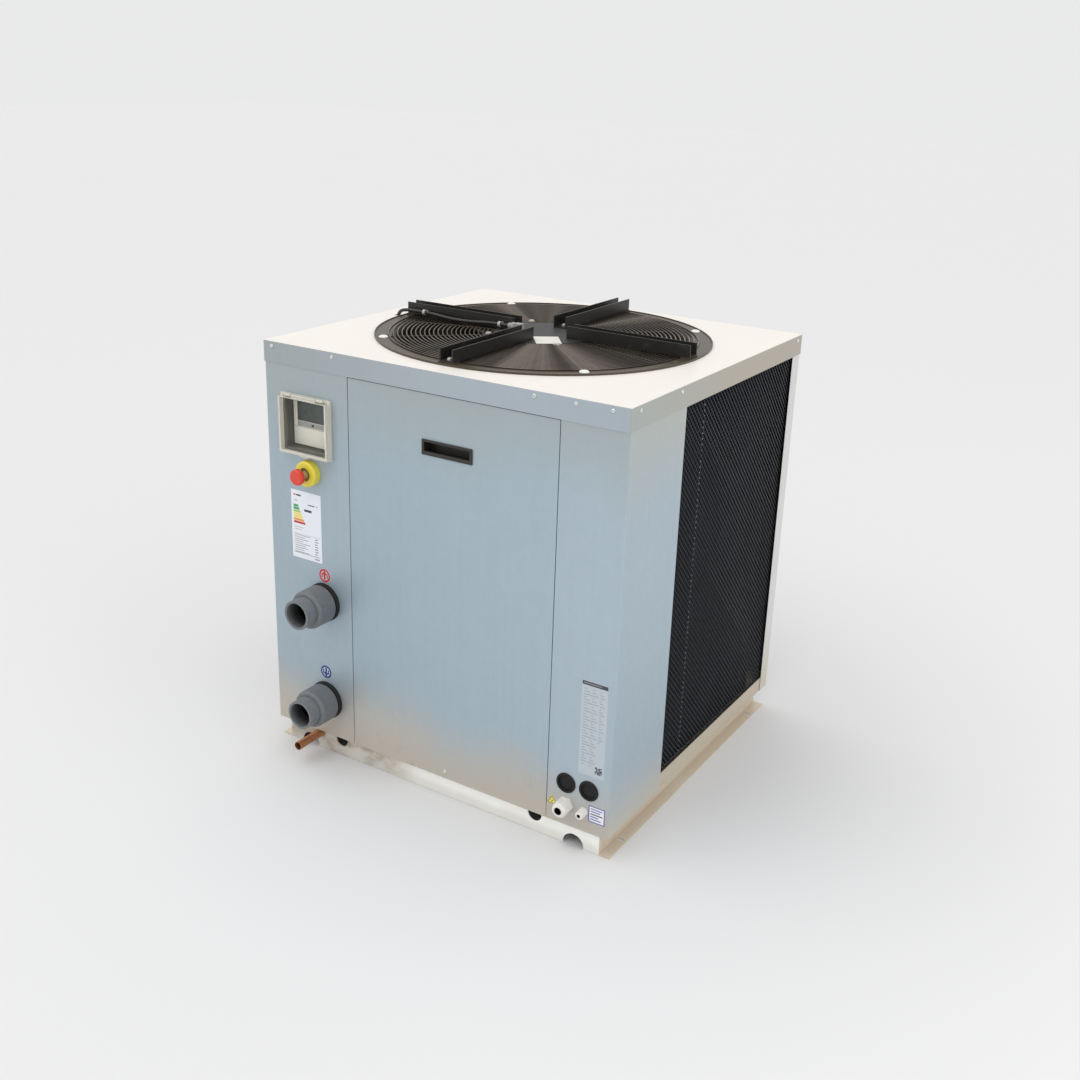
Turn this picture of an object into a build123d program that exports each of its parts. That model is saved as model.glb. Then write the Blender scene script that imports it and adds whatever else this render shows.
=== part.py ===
from build123d import *
import os
from math import cos, radians, sin, tan

# Pool heat pump with a vertical fan: a folded sheet-steel cabinet on a rail base,
# a U-shaped finned coil, a compressor circuit, a water heat exchanger and its controls.
# Millimetres. +X runs right along the front, +Y to the back, +Z up.
# The origin is on the floor, at the centre of the four anchor slots.

# ---------------------------------------------------------------- driving dimensions
body_w = 1000.0            # cabinet width over the top cover
body_d = 930.0             # cabinet depth over the top cover
body_h = 1073.0            # floor to the deck of the top cover
sheet = 1.5                # cabinet sheet thickness
fold_gap = 0.5             # play between the cover's skirt and the panels behind it
skirt_h = 52.0             # height of the cover's skirt
seam = 2.0                 # open joint between two front panels
flange = 12.0              # depth of a panel's folded edge

# Front panels
pipe_panel_w = 257.0        # cabinet side to the seam of the pipe panel
supply_panel_w = 165.5      # cabinet side to the seam of the supply panel
seam_left_x = pipe_panel_w - body_w / 2  # joint between the pipe panel and the access panel
seam_right_x = body_w / 2 - supply_panel_w  # joint between the access panel and the supply panel
panel_z0 = 58.0            # lower edge of every panel
panel_z1 = body_h - 7.0  # upper edge of the fixed panels, behind the skirt
wrap_back_y = 263.0 - body_d / 2  # where the corner panels end on the sides

# Base
rail_t = 2.5
rail_flange = 40.0
tray_t = 2.0
tray_floor_z = 84.0        # underside of the tray floor, top of the rails
tray_rim_z = 98.0
cross_rail_y = body_d / 2 - 15.0  # outer face of the front and rear rails
side_rail_x = body_w / 2 - 29.0  # outer face of the side rails' webs
arch_x = side_rail_x - 68.0  # strap arches in the front and rear rails
arch_r = 28.0
weep_hole_x = side_rail_x - 175.0  # round condensate weep holes
weep_hole_z = 46.0
weep_hole_r = 19.0
anchor_x = side_rail_x + 15.0  # anchor slots in the outer floor flanges
anchor_y = body_d / 2 - 95.0
anchor_r = 5.5
anchor_len = 20.0

# Fan
fan_x = -6.0
fan_y = 10.0
throat_r = 362.0
ring_r = throat_r + 58.0
ring_t = 3.0
ring_depth = 86.0
bell_r = 20.0
deck_hole_clear = 2.0
ring_bolt_r = throat_r + 38.0  # pitch radius of the ring's own bolts
guard_wire = 4.0
guard_r0 = 130.0
guard_r1 = throat_r + 23.0
guard_rings = 24
guard_spokes = 12
guard_tab_r = 140.0
arm_w = 37.0
arm_h = 30.0
arm_t = 3.0
arm_r0 = 77.0
arm_r1 = ring_r - 8.0
arm_bolt_in = 100.0
arm_bolt_out = ring_bolt_r - 4.0
motor_disc_r = 125.0
motor_disc_t = 12.0
stator_r = 80.0
rotor_r = 95.0
rotor_wall = 12.0
rotor_h = 130.0
spigot_r = 17.5
bearing_play = 0.05
blade_count = 5
blade_t = 3.0
blade_pitch = 25.0         # degrees
tip_clear = 8.0
cable_d = 9.0

# Coil and its guards
coil_x = body_w / 2 - 22.0  # outer face of the finned block
coil_y = body_d / 2 - 22.0
coil_t = 44.0
coil_bend_r = 100.0
coil_front_y = wrap_back_y + 6.0
coil_top_z = body_h - 33.0
guard_x = body_w / 2 - 7.0
guard_y = body_d / 2 - 7.0
mesh_t = 2.5
mesh_bar = 4.0
mesh_pitch = 90.0
mesh_frame = 14.0
mesh_top_z = coil_top_z + 5.0
post_leg = 45.0            # corner angle, leg along the side
post_back_leg = 70.0       # corner angle, leg along the back, which covers the coil's bend

# Controls
window_x = seam_left_x - 128.0
window_z = body_h - 193.0
window_w = 154.0
window_h = 148.0
window_frame_t = 6.0
cover_depth = 12.0
cover_wall = 2.0
hinge_pin_r = 1.5
knuckle_r = 3.5
recess_w = window_w - 24.0
recess_h = window_h - 24.0
recess_depth = 35.0
controller_w = recess_w - 10.0
controller_h = recess_h - 10.0
controller_t = 13.0
screen_w = controller_w - 24.0
screen_h = 48.0
key_r = 3.0
key_travel = 1.2
estop_x = window_x + 4.0
estop_z = window_z - window_h / 2 - 43.0
collar_r = 32.5
collar_t = 20.0
collar_bore_r = 17.0
barrel_r = 11.0
stem_r = 8.0
mushroom_r = 20.0
mushroom_t = 14.0
estop_travel = 5.0
estop_gap = 18.0           # collar face to the back of the mushroom

# Water connections
union_x = 168.0 - body_w / 2
outlet_z = 431.0
inlet_z = 157.0
gasket_r = 50.0
gasket_t = 10.0
socket_r = 31.5            # bore radius of the 63 mm solvent socket
pipe_r = socket_r + 6.0    # outer radius of the 63 mm solvent socket
socket_depth = 38.0
water_r = 28.0
nut_r = 49.0
thread_r = nut_r - 7.0       # union thread
nut_len = 58.0
nut_play = 0.35
tail_out = 33.0            # how far the socket stands out of the nut
hx_y = 175.0 - body_d / 2
hx_r = 85.0
hx_z0 = 110.0
hx_z1 = 760.0
drain_x = union_x - 34.0
drain_y = hx_y - 95.0
drain_z = 46.0
drain_r = 11.0
drain_wall = 1.0
drain_out = 78.0           # stand-out in front of the panel
drain_bend = 24.0

# Supply panel fittings
grommet_x = (body_w / 2 - 115.0, body_w / 2 - 55.0)
grommet_z = 168.0
grommet_r = 25.0
grommet_neck_r = 22.0
gland_z = 111.0
gland_big_x = grommet_x[0] + 1.0
gland_small_x = grommet_x[1] - 10.0
label_t = 0.4
sticker_r = 18.0

# Access panel
handle_x = 43.0
handle_z = body_h - 178.0
handle_w = 138.0
handle_h = 36.0
cup_w = 130.0
cup_h = 30.0
cup_depth = 25.0
cup_wall = 2.0
access_screw_z = 76.0

# Fasteners
screw_r = 2.4
screw_head_r = 5.0
screw_head_h = 2.6
screw_len = 7.0
hole_play = 0.3
skirt_screw_z = body_h - 12.0
bolt_r = 4.0
bolt_head_r = 7.0
bolt_head_h = 5.0

# Inside the cabinet
comp_x = 90.0
comp_y = -120.0
comp_r = 90.0
comp_z0 = 100.0
comp_z1 = 520.0
terminal_w = 80.0
terminal_out = 30.0
terminal_z = 300.0
foot_r = 15.0
acc_x = -80.0
acc_y = -60.0
acc_r = 55.0
acc_z1 = 420.0
acc_port = 14.0           # offset of each pipe on the accumulator's top
return_z = 540.0
valve_x = -60.0
valve_y = -200.0
valve_z = 850.0
valve_stub = 35.0
header_y = coil_front_y - 44.0
header_r = 14.0
bend_count = 12
bend_z0 = 150.0
bend_pitch = 72.0
suction_z = 460.0
liquid_z = 150.0
ebox_x1 = body_w / 2 - 15.0
ebox_x0 = ebox_x1 - 125.0
ebox_y0 = 10.0 - body_d / 2
ebox_y1 = ebox_y0 + 125.0
ebox_z0 = 300.0
ebox_z1 = body_h - 113.0
contactor_z = (350.0, 480.0, 610.0)

# ---------------------------------------------------------------- derived places
panel_x = body_w / 2 - sheet - fold_gap        # outer face of the side panels
panel_y = body_d / 2 - sheet - fold_gap        # outer face of the front panels, as -Y
tray_x = panel_x - sheet
tray_y = panel_y - sheet
deck_z = body_h - sheet
ring_top = body_h + ring_t
guard_z1 = ring_top + guard_wire               # top of the guard, underside of the arms
deck_hole_r = throat_r + bell_r + deck_hole_clear
skirt_z0 = body_h - skirt_h
tray_top_z = tray_floor_z + tray_t
front = -panel_y                               # plane of the front panels
outlet_inlet = (outlet_z, inlet_z)
nut_y1 = front - gasket_t - seam               # inner end of a union nut
nut_y0 = nut_y1 - nut_len
tail_y0 = nut_y0 - tail_out
quarter_turns = (0, 90, 180, 270)
half_w = body_w / 2
half_d = body_d / 2
front_screw_x = (-half_w + 26.0, -half_w + 213.0, half_w - 231.0, half_w - 129.0, half_w - 42.0)
side_screw_y = (-half_d + 40.0, -half_d + 229.0)
rear_screw_y = half_d - 29.0
back_screw_x = (-half_w + 26.0, half_w - 26.0)
rotor_z0 = guard_z1 - motor_disc_t - 6 - rotor_h
cable_side_y = -30.0
cable_z = guard_z1 + 12
cable_exit_r = ring_r + 18.0
gland_tip_x = -84.0
cable_route = [
    (gland_tip_x, cable_side_y, cable_z),
    (-140, cable_side_y, cable_z),
    (-200, cable_side_y - 7, cable_z - 5),
    (-262, cable_side_y - 8, cable_z - 5),
    (-322, cable_side_y - 1, cable_z - 1),
    (-376, cable_side_y + 1, cable_z),
    (-414, cable_side_y - 1, cable_z - 1),
    (-cable_exit_r + 4, cable_side_y, cable_z - 10),
    (-cable_exit_r, cable_side_y, deck_z - 6),
]
clip_runs = (0, 4)
hinge_y = front - window_frame_t - knuckle_r
hinge_z = window_z + window_h / 2 - 3
cover_z1 = hinge_z - 5
cover_z0 = window_z - window_h / 2 + 2
screen_z = window_z + controller_h / 2 - screen_h / 2 - 6
key_z = screen_z - screen_h / 2 - 8
stem_y0 = front - collar_t - estop_gap
hx_port_y = hx_y - hx_r - 25
gland_big = {"hex_r": 20.8, "thread_r": 16.0, "dome_r": 18.0, "bore_r": 9.0, "out": 35.0}
gland_small = {"hex_r": 11.5, "thread_r": 8.0, "dome_r": 10.0, "bore_r": 4.0, "out": 25.0}
gland_hex_t = 8.0
sticker_places = ((union_x + 3.5, outlet_z + 71.5), (union_x - 0.5, inlet_z + 79.0))

os.makedirs("parts", exist_ok=True)


# ---------------------------------------------------------------- helpers
def block(x0, x1, y0, y1, z0, z1):
    """Box between two opposite corners."""
    middle = Pos((x0 + x1) / 2, (y0 + y1) / 2, (z0 + z1) / 2)
    return middle * Box(abs(x1 - x0), abs(y1 - y0), abs(z1 - z0))


def rod_x(r, x0, x1, y, z):
    """Cylinder along X."""
    return Pos((x0 + x1) / 2, y, z) * Rot(0, 90, 0) * Cylinder(r, abs(x1 - x0))


def rod_y(r, y0, y1, x, z):
    """Cylinder along Y."""
    return Pos(x, (y0 + y1) / 2, z) * Rot(90, 0, 0) * Cylinder(r, abs(y1 - y0))


def rod_z(r, z0, z1, x=0.0, y=0.0):
    """Cylinder along Z."""
    return Pos(x, y, (z0 + z1) / 2) * Cylinder(r, abs(z1 - z0))


def at_fan(shape, angle=0.0):
    """Turn a shape about the fan's axis after building it around the origin."""
    return Pos(fan_x, fan_y, 0) * Rot(0, 0, angle) * shape


def mirror_x(shape):
    """The same shape on the other side of the cabinet."""
    return mirror(shape, about=Plane.YZ)


def save(node, *pieces):
    """Write one node; its pieces stay separate solids."""
    solids = [solid for piece in pieces for solid in piece.solids()]
    shape = solids[0] if len(solids) == 1 else Compound(solids)
    shape.label = node
    export_step(shape, f"parts/{node}.step")


def tube_path(points, radius_list):
    """Straight runs joined by tangent arcs."""
    return FilletPolyline(*points, radius=radius_list)


def pipe(points, r, bend):
    """Solid round bar along straight runs with one bend radius."""
    path = tube_path(points, [bend] * (len(points) - 2))
    return sweep(Plane(path @ 0, z_dir=path % 0) * Circle(r), path=path)


def arc_radii(points):
    """The largest arc that each corner's two runs leave room for."""
    spots = [Vector(*point) for point in points]
    found = []
    for before, corner, after in zip(spots, spots[1:], spots[2:]):
        run_in = corner - before
        run_out = after - corner
        turn = radians(run_in.get_angle(run_out))
        found.append(0.45 * min(run_in.length, run_out.length) / tan(turn / 2))
    return found


# ---------------------------------------------------------------- base
def base_tray():
    """Shallow drip tray that carries everything."""
    tray = block(-tray_x, tray_x, -tray_y, tray_y, panel_z0, tray_rim_z)
    in_x = tray_x - tray_t
    in_y = tray_y - tray_t
    tray -= block(-in_x, in_x, -in_y, in_y, tray_top_z, tray_rim_z + 1)
    tray -= block(-in_x, in_x, -in_y, in_y, panel_z0 - 1, tray_floor_z)
    tray -= rod_z(drain_r, tray_floor_z - 1, tray_top_z + 1, drain_x, drain_y)
    tray -= rod_y(screw_r + hole_play, -tray_y - 1, -in_y + 1, handle_x, access_screw_z)
    notch = gland_big["hex_r"] + 3
    tray -= block(gland_big_x - notch, gland_big_x + notch, -tray_y - 1, -in_y + 1,
                  gland_z - notch, tray_rim_z + 1)
    return tray


def cross_rail(side):
    """Front (-1) or rear (+1) rail: a channel with strap arches and weep holes."""
    outer = side * cross_rail_y
    inner = outer - side * rail_t
    back = inner - side * rail_flange
    reach = side_rail_x - rail_t
    rail = block(-side_rail_x, side_rail_x, outer, inner, 0, tray_floor_z)
    rail += block(-reach, reach, inner, back, 0, rail_t)
    rail += block(-reach, reach, inner, back, tray_floor_z - rail_t, tray_floor_z)
    for x in (-arch_x, arch_x):
        rail -= rod_y(arch_r, outer + side, back - side, x, rail_t)
    for x in (-weep_hole_x, weep_hole_x):
        rail -= rod_y(weep_hole_r, outer + side, inner - side, x, weep_hole_z)
    if side < 0:
        rail -= rod_y(drain_r + 1, outer + side, inner - side, drain_x, drain_z)
    return rail


def side_rail():
    """Right-hand rail: a Z section with a slotted floor flange outside."""
    inner = side_rail_x - rail_t
    end_y = cross_rail_y - rail_t
    top_y = end_y - rail_flange
    rail = block(inner, side_rail_x, -end_y, end_y, 0, tray_floor_z)
    rail += block(side_rail_x, body_w / 2, -cross_rail_y, cross_rail_y, 0, rail_t)
    rail += block(inner - rail_flange, inner, -top_y, top_y, tray_floor_z - rail_t, tray_floor_z)
    for y in (-anchor_y, anchor_y):
        slot = extrude(SlotOverall(anchor_len, 2 * anchor_r), amount=rail_t + 2)
        rail -= Pos(anchor_x, y, -1) * slot
    return rail


# ---------------------------------------------------------------- cabinet
def skirt_screws():
    """Place and outward direction of each screw in the cover's skirt."""
    places = [((x, -body_d / 2, skirt_screw_z), (0, -1, 0)) for x in front_screw_x]
    places += [((x, body_d / 2, skirt_screw_z), (0, 1, 0)) for x in back_screw_x]
    for y in side_screw_y + (rear_screw_y,):
        places.append(((body_w / 2, y, skirt_screw_z), (1, 0, 0)))
        places.append(((-body_w / 2, y, skirt_screw_z), (-1, 0, 0)))
    return places


def drilled(shape):
    """A sheet with the clearance holes of the skirt screws through it."""
    for place, outward in skirt_screws():
        hole = Cylinder(screw_r + hole_play, 4 * screw_len)
        shape -= Plane(place, z_dir=outward) * hole
    return shape


def cabinet_screw(place, outward):
    """Pan-head screw whose head sits on the sheet at a place."""
    head = Pos(0, 0, screw_head_h / 2) * Cylinder(screw_head_r, screw_head_h)
    head = fillet(head.edges().sort_by(Axis.Z)[-1], 1.6)
    shank = Pos(0, 0, -screw_len / 2) * Cylinder(screw_r, screw_len)
    return Plane(place, z_dir=outward) * (head + shank)


def top_cover():
    """Deck and skirt in one folding, open to the fan."""
    half_x = body_w / 2
    half_y = body_d / 2
    cover = block(-half_x, half_x, -half_y, half_y, skirt_z0, body_h)
    cover -= block(-half_x + sheet, half_x - sheet, -half_y + sheet, half_y - sheet, skirt_z0 - 1, deck_z)
    cover -= rod_z(deck_hole_r, deck_z - 1, body_h + 1, fan_x, fan_y)
    for angle in quarter_turns:
        cover -= at_fan(Pos(arm_bolt_out, 0, deck_z) * Cylinder(bolt_r + hole_play, 20), angle)
        cover -= at_fan(Pos(ring_bolt_r, 0, deck_z) * Cylinder(bolt_r + hole_play, 20), angle + 45)
    cover -= at_fan(Pos(-cable_exit_r, cable_side_y, deck_z) * Cylinder(cable_d / 2 + 3, 20))
    return drilled(cover)


def corner_panel(seam_x):
    """Front corner panel that wraps round to the side; left for a negative seam."""
    side = 1 if seam_x > 0 else -1
    edge = seam_x + side * seam / 2
    back = front + sheet
    corner = side * panel_x
    panel = block(edge, corner, front, back, panel_z0, panel_z1)
    panel += block(corner, corner - side * sheet, front, wrap_back_y, panel_z0, panel_z1)
    panel += block(edge, edge + side * sheet, front, front + flange, tray_rim_z, panel_z1)
    fold = block(corner, corner - side * flange, wrap_back_y - sheet, wrap_back_y, tray_rim_z, panel_z1)
    return drilled(panel + fold)


def left_front_panel():
    """Pipe and control side: openings for the unions, the window and the stop button."""
    panel = corner_panel(seam_left_x)
    for z in outlet_inlet:
        panel -= rod_y(gasket_r - 6, front - 1, front + sheet + 1, union_x, z)
    half_w = recess_w / 2 + 0.5
    half_h = recess_h / 2 + 0.5
    panel -= block(window_x - half_w, window_x + half_w, front - 1, front + sheet + 1,
                   window_z - half_h, window_z + half_h)
    panel -= rod_y(barrel_r + 0.2, front - 1, front + sheet + 1, estop_x, estop_z)
    return panel


def right_front_panel():
    """Supply side: openings for two blanking grommets and two cable glands."""
    panel = corner_panel(seam_right_x)
    cuts = [(x, grommet_z, grommet_neck_r + 0.2) for x in grommet_x]
    cuts += [(gland_big_x, gland_z, gland_big["thread_r"] + 0.2)]
    cuts += [(gland_small_x, gland_z, gland_small["thread_r"] + 0.2)]
    for x, z, r in cuts:
        panel -= rod_y(r, front - 1, front + sheet + 1, x, z)
    return panel


def access_panel():
    """Lift-off centre panel, folded on all four sides."""
    x0 = seam_left_x + seam / 2
    x1 = seam_right_x - seam / 2
    z1 = skirt_z0 - seam
    panel = block(x0, x1, front, front + sheet, panel_z0, z1)
    panel += block(x0, x0 + sheet, front, front + flange, tray_rim_z + seam, z1)
    panel += block(x1, x1 - sheet, front, front + flange, tray_rim_z + seam, z1)
    panel += block(x0, x1, front, front + flange, z1 - sheet, z1)
    half_w = cup_w / 2 + hole_play
    half_h = cup_h / 2 + hole_play
    panel -= block(handle_x - half_w, handle_x + half_w, front - 1, front + sheet + 1,
                   handle_z - half_h, handle_z + half_h)
    panel -= rod_y(screw_r + hole_play, front - 1, front + sheet + 1, handle_x, access_screw_z)
    return panel


def handle_cup():
    """Recessed pull: a flanged cup with a lip along its lower edge."""
    half_w = cup_w / 2
    half_h = cup_h / 2
    lip_y = front - 3
    cup = block(handle_x - handle_w / 2, handle_x + handle_w / 2, lip_y, front,
                handle_z - handle_h / 2, handle_z + handle_h / 2)
    cup += block(handle_x - half_w, handle_x + half_w, front, front + cup_depth,
                 handle_z - half_h, handle_z + half_h)
    cup -= block(handle_x - half_w + cup_wall, handle_x + half_w - cup_wall, lip_y - 1,
                 front + cup_depth - cup_wall, handle_z - half_h + cup_wall, handle_z + half_h - cup_wall)
    lip = block(handle_x - half_w, handle_x + half_w, lip_y, lip_y + 2.5,
                handle_z - half_h + cup_wall - 0.5, handle_z - half_h + cup_wall + 4)
    return cup + lip


def front_post(seam_x):
    """Channel upright behind a panel joint, open to the back."""
    half = 20.0
    face = front + flange
    post = block(seam_x - half, seam_x + half, face, face + 30, tray_top_z, deck_z)
    inner = half - sheet
    return post - block(seam_x - inner, seam_x + inner, face + sheet, face + 31, tray_top_z - 1, deck_z + 1)


def rear_post():
    """Right rear corner angle."""
    post = block(panel_x - post_back_leg, panel_x, panel_y - post_leg, panel_y, panel_z0, panel_z1)
    inner_x = panel_x - sheet
    inner_y = panel_y - sheet
    post -= block(0, inner_x, 0, inner_y, panel_z0 - 1, panel_z1 + 1)
    return drilled(post)


# ---------------------------------------------------------------- fan
def fan_ring():
    """Bell-mouthed inlet ring with a flat flange, a rim bead and four arm pads."""
    arc_x = throat_r + bell_r
    arc_z = ring_top - bell_r
    profile = Plane.XZ * Pos((arc_x + ring_r) / 2, ring_top - ring_t / 2) * Rectangle(ring_r - arc_x, ring_t)
    quarter = Pos(arc_x, arc_z) * (Circle(bell_r) - Circle(bell_r - ring_t))
    quarter &= Pos(arc_x - bell_r / 2, arc_z + bell_r / 2) * Rectangle(bell_r, bell_r)
    wall_h = ring_depth - bell_r
    wall = Pos(throat_r + ring_t / 2, arc_z - wall_h / 2) * Rectangle(ring_t, wall_h)
    bead = Pos(ring_r - ring_t / 2, ring_top + 1) * Rectangle(ring_t, 2)
    profile += Plane.XZ * (quarter + wall + bead)
    ring = Pos(fan_x, fan_y, 0) * revolve(profile, Axis.Z)
    for angle in quarter_turns:
        pad = block(guard_r1 + guard_wire, arm_r1 + 2, -arm_w / 2 - 3, arm_w / 2 + 3, ring_top - 1, guard_z1)
        ring += at_fan(pad, angle)
        ring -= at_fan(Pos(arm_bolt_out, 0, ring_top) * Cylinder(bolt_r + hole_play, 20), angle)
        ring -= at_fan(Pos(ring_bolt_r, 0, ring_top) * Cylinder(bolt_r + hole_play, 20), angle + 45)
    return ring


def fan_guard():
    """Concentric wires on spokes, with four bolted tabs at the motor."""
    pitch = (guard_r1 - guard_r0) / (guard_rings - 1)
    half = guard_wire / 2
    flat = Sketch()
    for i in range(guard_rings):
        r = guard_r0 + i * pitch
        flat += Circle(r + half) - Circle(r - half)
    length = guard_r1 - guard_r0
    for i in range(guard_spokes):
        turn = Rot(0, 0, (i + 0.5) * 360 / guard_spokes)
        flat += turn * Pos((guard_r0 + guard_r1) / 2, 0) * Rectangle(length, guard_wire)
    for angle in quarter_turns:
        tab = Pos(guard_tab_r, 0) * (Circle(9) - Circle(bolt_r + hole_play))
        flat += Rot(0, 0, angle + 45) * tab
        flat -= Rot(0, 0, angle + 45) * Pos(guard_tab_r, 0) * Circle(bolt_r + hole_play)
    return Pos(fan_x, fan_y, ring_top) * extrude(flat, amount=guard_wire)


def fan_arm(angle):
    """Channel from the motor disc to the ring, open upwards."""
    half = arm_w / 2
    arm = block(arm_r0, arm_r1, -half, half, guard_z1, guard_z1 + arm_h)
    inner = half - arm_t
    arm -= block(arm_r0 - 1, arm_r1 + 1, -inner, inner, guard_z1 + arm_t, guard_z1 + arm_h + 1)
    for r in (arm_bolt_in, arm_bolt_out):
        arm -= Pos(r, 0, guard_z1) * Cylinder(bolt_r + hole_play, 4 * arm_t)
    return at_fan(arm, angle)


def bolt(r, head_z, length):
    """Round-headed bolt standing at a radius from the fan's axis."""
    head = Pos(r, 0, head_z + bolt_head_h / 2) * Cylinder(bolt_head_r, bolt_head_h)
    head = fillet(head.edges().sort_by(Axis.Z)[-1], 3)
    return head + Pos(r, 0, head_z - length / 2) * Cylinder(bolt_r, length)


def fan_bolts():
    """Arm, ring and guard bolts."""
    seat = guard_z1 + arm_t
    found = []
    for angle in quarter_turns:
        found.append(at_fan(bolt(arm_bolt_in, seat, 10), angle))
        found.append(at_fan(bolt(arm_bolt_out, seat, seat - deck_z + 4), angle))
        found.append(at_fan(bolt(ring_bolt_r, ring_top, 10), angle + 45))
        found.append(at_fan(bolt(guard_tab_r, guard_z1, guard_wire + 8), angle + 45))
    return found


def motor_stator():
    """Fixed half of the external-rotor motor: mounting disc, winding body and spigot."""
    disc_z0 = guard_z1 - motor_disc_t
    stator = rod_z(motor_disc_r, disc_z0, guard_z1)
    for angle in quarter_turns:
        ear = block(motor_disc_r - 10, guard_tab_r + 10, -12, 12, disc_z0, ring_top)
        stator += Rot(0, 0, angle + 45) * ear
    body_z0 = rotor_z0 + rotor_wall + 60
    stator += rod_z(stator_r, body_z0, disc_z0)
    stator += rod_z(spigot_r, rotor_z0 + 4, body_z0)
    for angle in quarter_turns:
        stator -= Rot(0, 0, angle) * Pos(arm_bolt_in, 0, guard_z1) * Cylinder(bolt_r + hole_play, 20)
        stator -= Rot(0, 0, angle + 45) * Pos(guard_tab_r, 0, ring_top) * Cylinder(bolt_r + hole_play, 20)
    return at_fan(stator)


def motor_rotor():
    """Turning bell of the motor."""
    bell = rod_z(rotor_r, rotor_z0, rotor_z0 + rotor_h)
    bell -= rod_z(stator_r + 3, rotor_z0 + rotor_wall, rotor_z0 + rotor_h + 1)
    bell -= rod_z(spigot_r + bearing_play, rotor_z0 - 1, rotor_z0 + rotor_wall + 1)
    return at_fan(bell)


def fan_impeller():
    """Sleeve on the rotor with sickle blades."""
    mid_z = rotor_z0 + rotor_h / 2
    root_r = rotor_r + bearing_play
    sleeve = rod_z(rotor_r + 4, mid_z - 38, mid_z + 38)
    tip_r = throat_r - tip_clear
    lead = ThreePointArc((rotor_r - 6, 30), (tip_r * 0.62, 52), (tip_r + 12, 150))
    trail = ThreePointArc((rotor_r - 6, -42), (tip_r * 0.66, -52), (tip_r + 12, 18))
    outline = make_face([lead, Line(lead @ 1, trail @ 1), trail, Line(trail @ 0, lead @ 0)])
    blade = Rot(blade_pitch, 0, 0) * extrude(outline, amount=blade_t / 2, both=True)
    for i in range(blade_count):
        sleeve += Pos(0, 0, mid_z) * Rot(0, 0, i * 360 / blade_count) * blade
    sleeve &= rod_z(tip_r, mid_z - 90, mid_z + 90)
    sleeve -= rod_z(root_r, mid_z - 100, mid_z + 100)
    return at_fan(sleeve)


def motor_gland():
    """Cable entry on the motor disc, pointing along the left arm."""
    body = block(gland_tip_x + 18, gland_tip_x + 38, cable_side_y - 10, cable_side_y + 10,
                 guard_z1, cable_z + 9)
    body += rod_x(10, gland_tip_x + 10, gland_tip_x + 18, cable_side_y, cable_z)
    body += rod_x(7.5, gland_tip_x, gland_tip_x + 10, cable_side_y, cable_z)
    return at_fan(body)


def motor_cable():
    """Supply lead of the fan motor, held along the left arm."""
    radii = arc_radii(cable_route)
    print("motor cable radii:", [round(r, 1) for r in radii])
    path = tube_path(cable_route, radii)
    tube = sweep(Plane(path @ 0, z_dir=path % 0) * Circle(cable_d / 2), path=path)
    print("motor cable length:", round(path.length, 1))
    return at_fan(tube)


def cable_clip(run):
    """Saddle that holds the cable to the arm's wall at the middle of one run."""
    a = Vector(*cable_route[run])
    b = Vector(*cable_route[run + 1])
    middle = (a + b) * 0.5
    wrap = Plane(middle, z_dir=b - a) * (Cylinder(cable_d / 2 + 2.3, 7) - Cylinder(cable_d / 2 + 0.8, 8))
    wall_y = -arm_w / 2
    tab = block(middle.X - 3.5, middle.X + 3.5, middle.Y + cable_d / 2 + 1, wall_y,
                middle.Z - 4, middle.Z + 4)
    return at_fan(wrap + tab)


# ---------------------------------------------------------------- coil
def coil_fins():
    """Finned block bent round the right, back and left sides."""
    long_y = 600.0
    outer = RectangleRounded(2 * coil_x, long_y, coil_bend_r)
    inner_r = coil_bend_r - coil_t
    inner = RectangleRounded(2 * (coil_x - coil_t), long_y, inner_r)
    plan = Pos(0, coil_y - long_y / 2) * outer - Pos(0, coil_y - coil_t - long_y / 2) * inner
    straight = coil_y - long_y / 2 - coil_front_y
    plan &= Pos(0, coil_front_y + 400) * Rectangle(3 * coil_x, 800)
    legs = Pos(coil_x - coil_t / 2, coil_front_y + straight / 2) * Rectangle(coil_t, straight)
    plan += legs + mirror(legs, about=Plane.YZ)
    return Pos(0, 0, tray_top_z) * extrude(plan, amount=coil_top_z - tray_top_z)


def coil_end_plate():
    """Tube sheet at the front end of the right leg."""
    return block(coil_x - coil_t - 6, coil_x + 6, coil_front_y - 3, coil_front_y,
                 tray_top_z, coil_top_z + 5)


def coil_pipework():
    """Return bends of the right leg and the header that feeds it."""
    face = coil_front_y - 3
    mid_x = coil_x - coil_t / 2
    bends = []
    for i in range(bend_count):
        z = bend_z0 + i * bend_pitch
        loop = Pos(mid_x + 10, face, z) * Rot(0, 90, 0) * Torus(12.7, 5)
        bends.append(loop & block(mid_x, mid_x + 20, face - 30, face, z - 30, z + 30))
    header = rod_z(header_r, 130, coil_top_z - 80, mid_x - 8, header_y)
    for i in range(bend_count):
        header += rod_y(4.5, header_y, face, mid_x - 8, bend_z0 + i * bend_pitch)
    return bends + [header]


def guard_sheet(width, height):
    """Flat lattice of crossing diagonal bars in a frame."""
    edge = Rectangle(width, height) - Rectangle(width - 2 * mesh_frame, height - 2 * mesh_frame)
    bars = Sketch()
    reach = (width + height) / 2
    count = int(reach / mesh_pitch) + 1
    for i in range(-count, count + 1):
        for lean in (-33, 33):
            bars += Pos(i * mesh_pitch, 0) * Rot(0, 0, lean) * Rectangle(mesh_bar, 2 * height)
    bars &= Rectangle(width - mesh_frame, height - mesh_frame)
    return extrude(edge + bars, amount=mesh_t)


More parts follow.
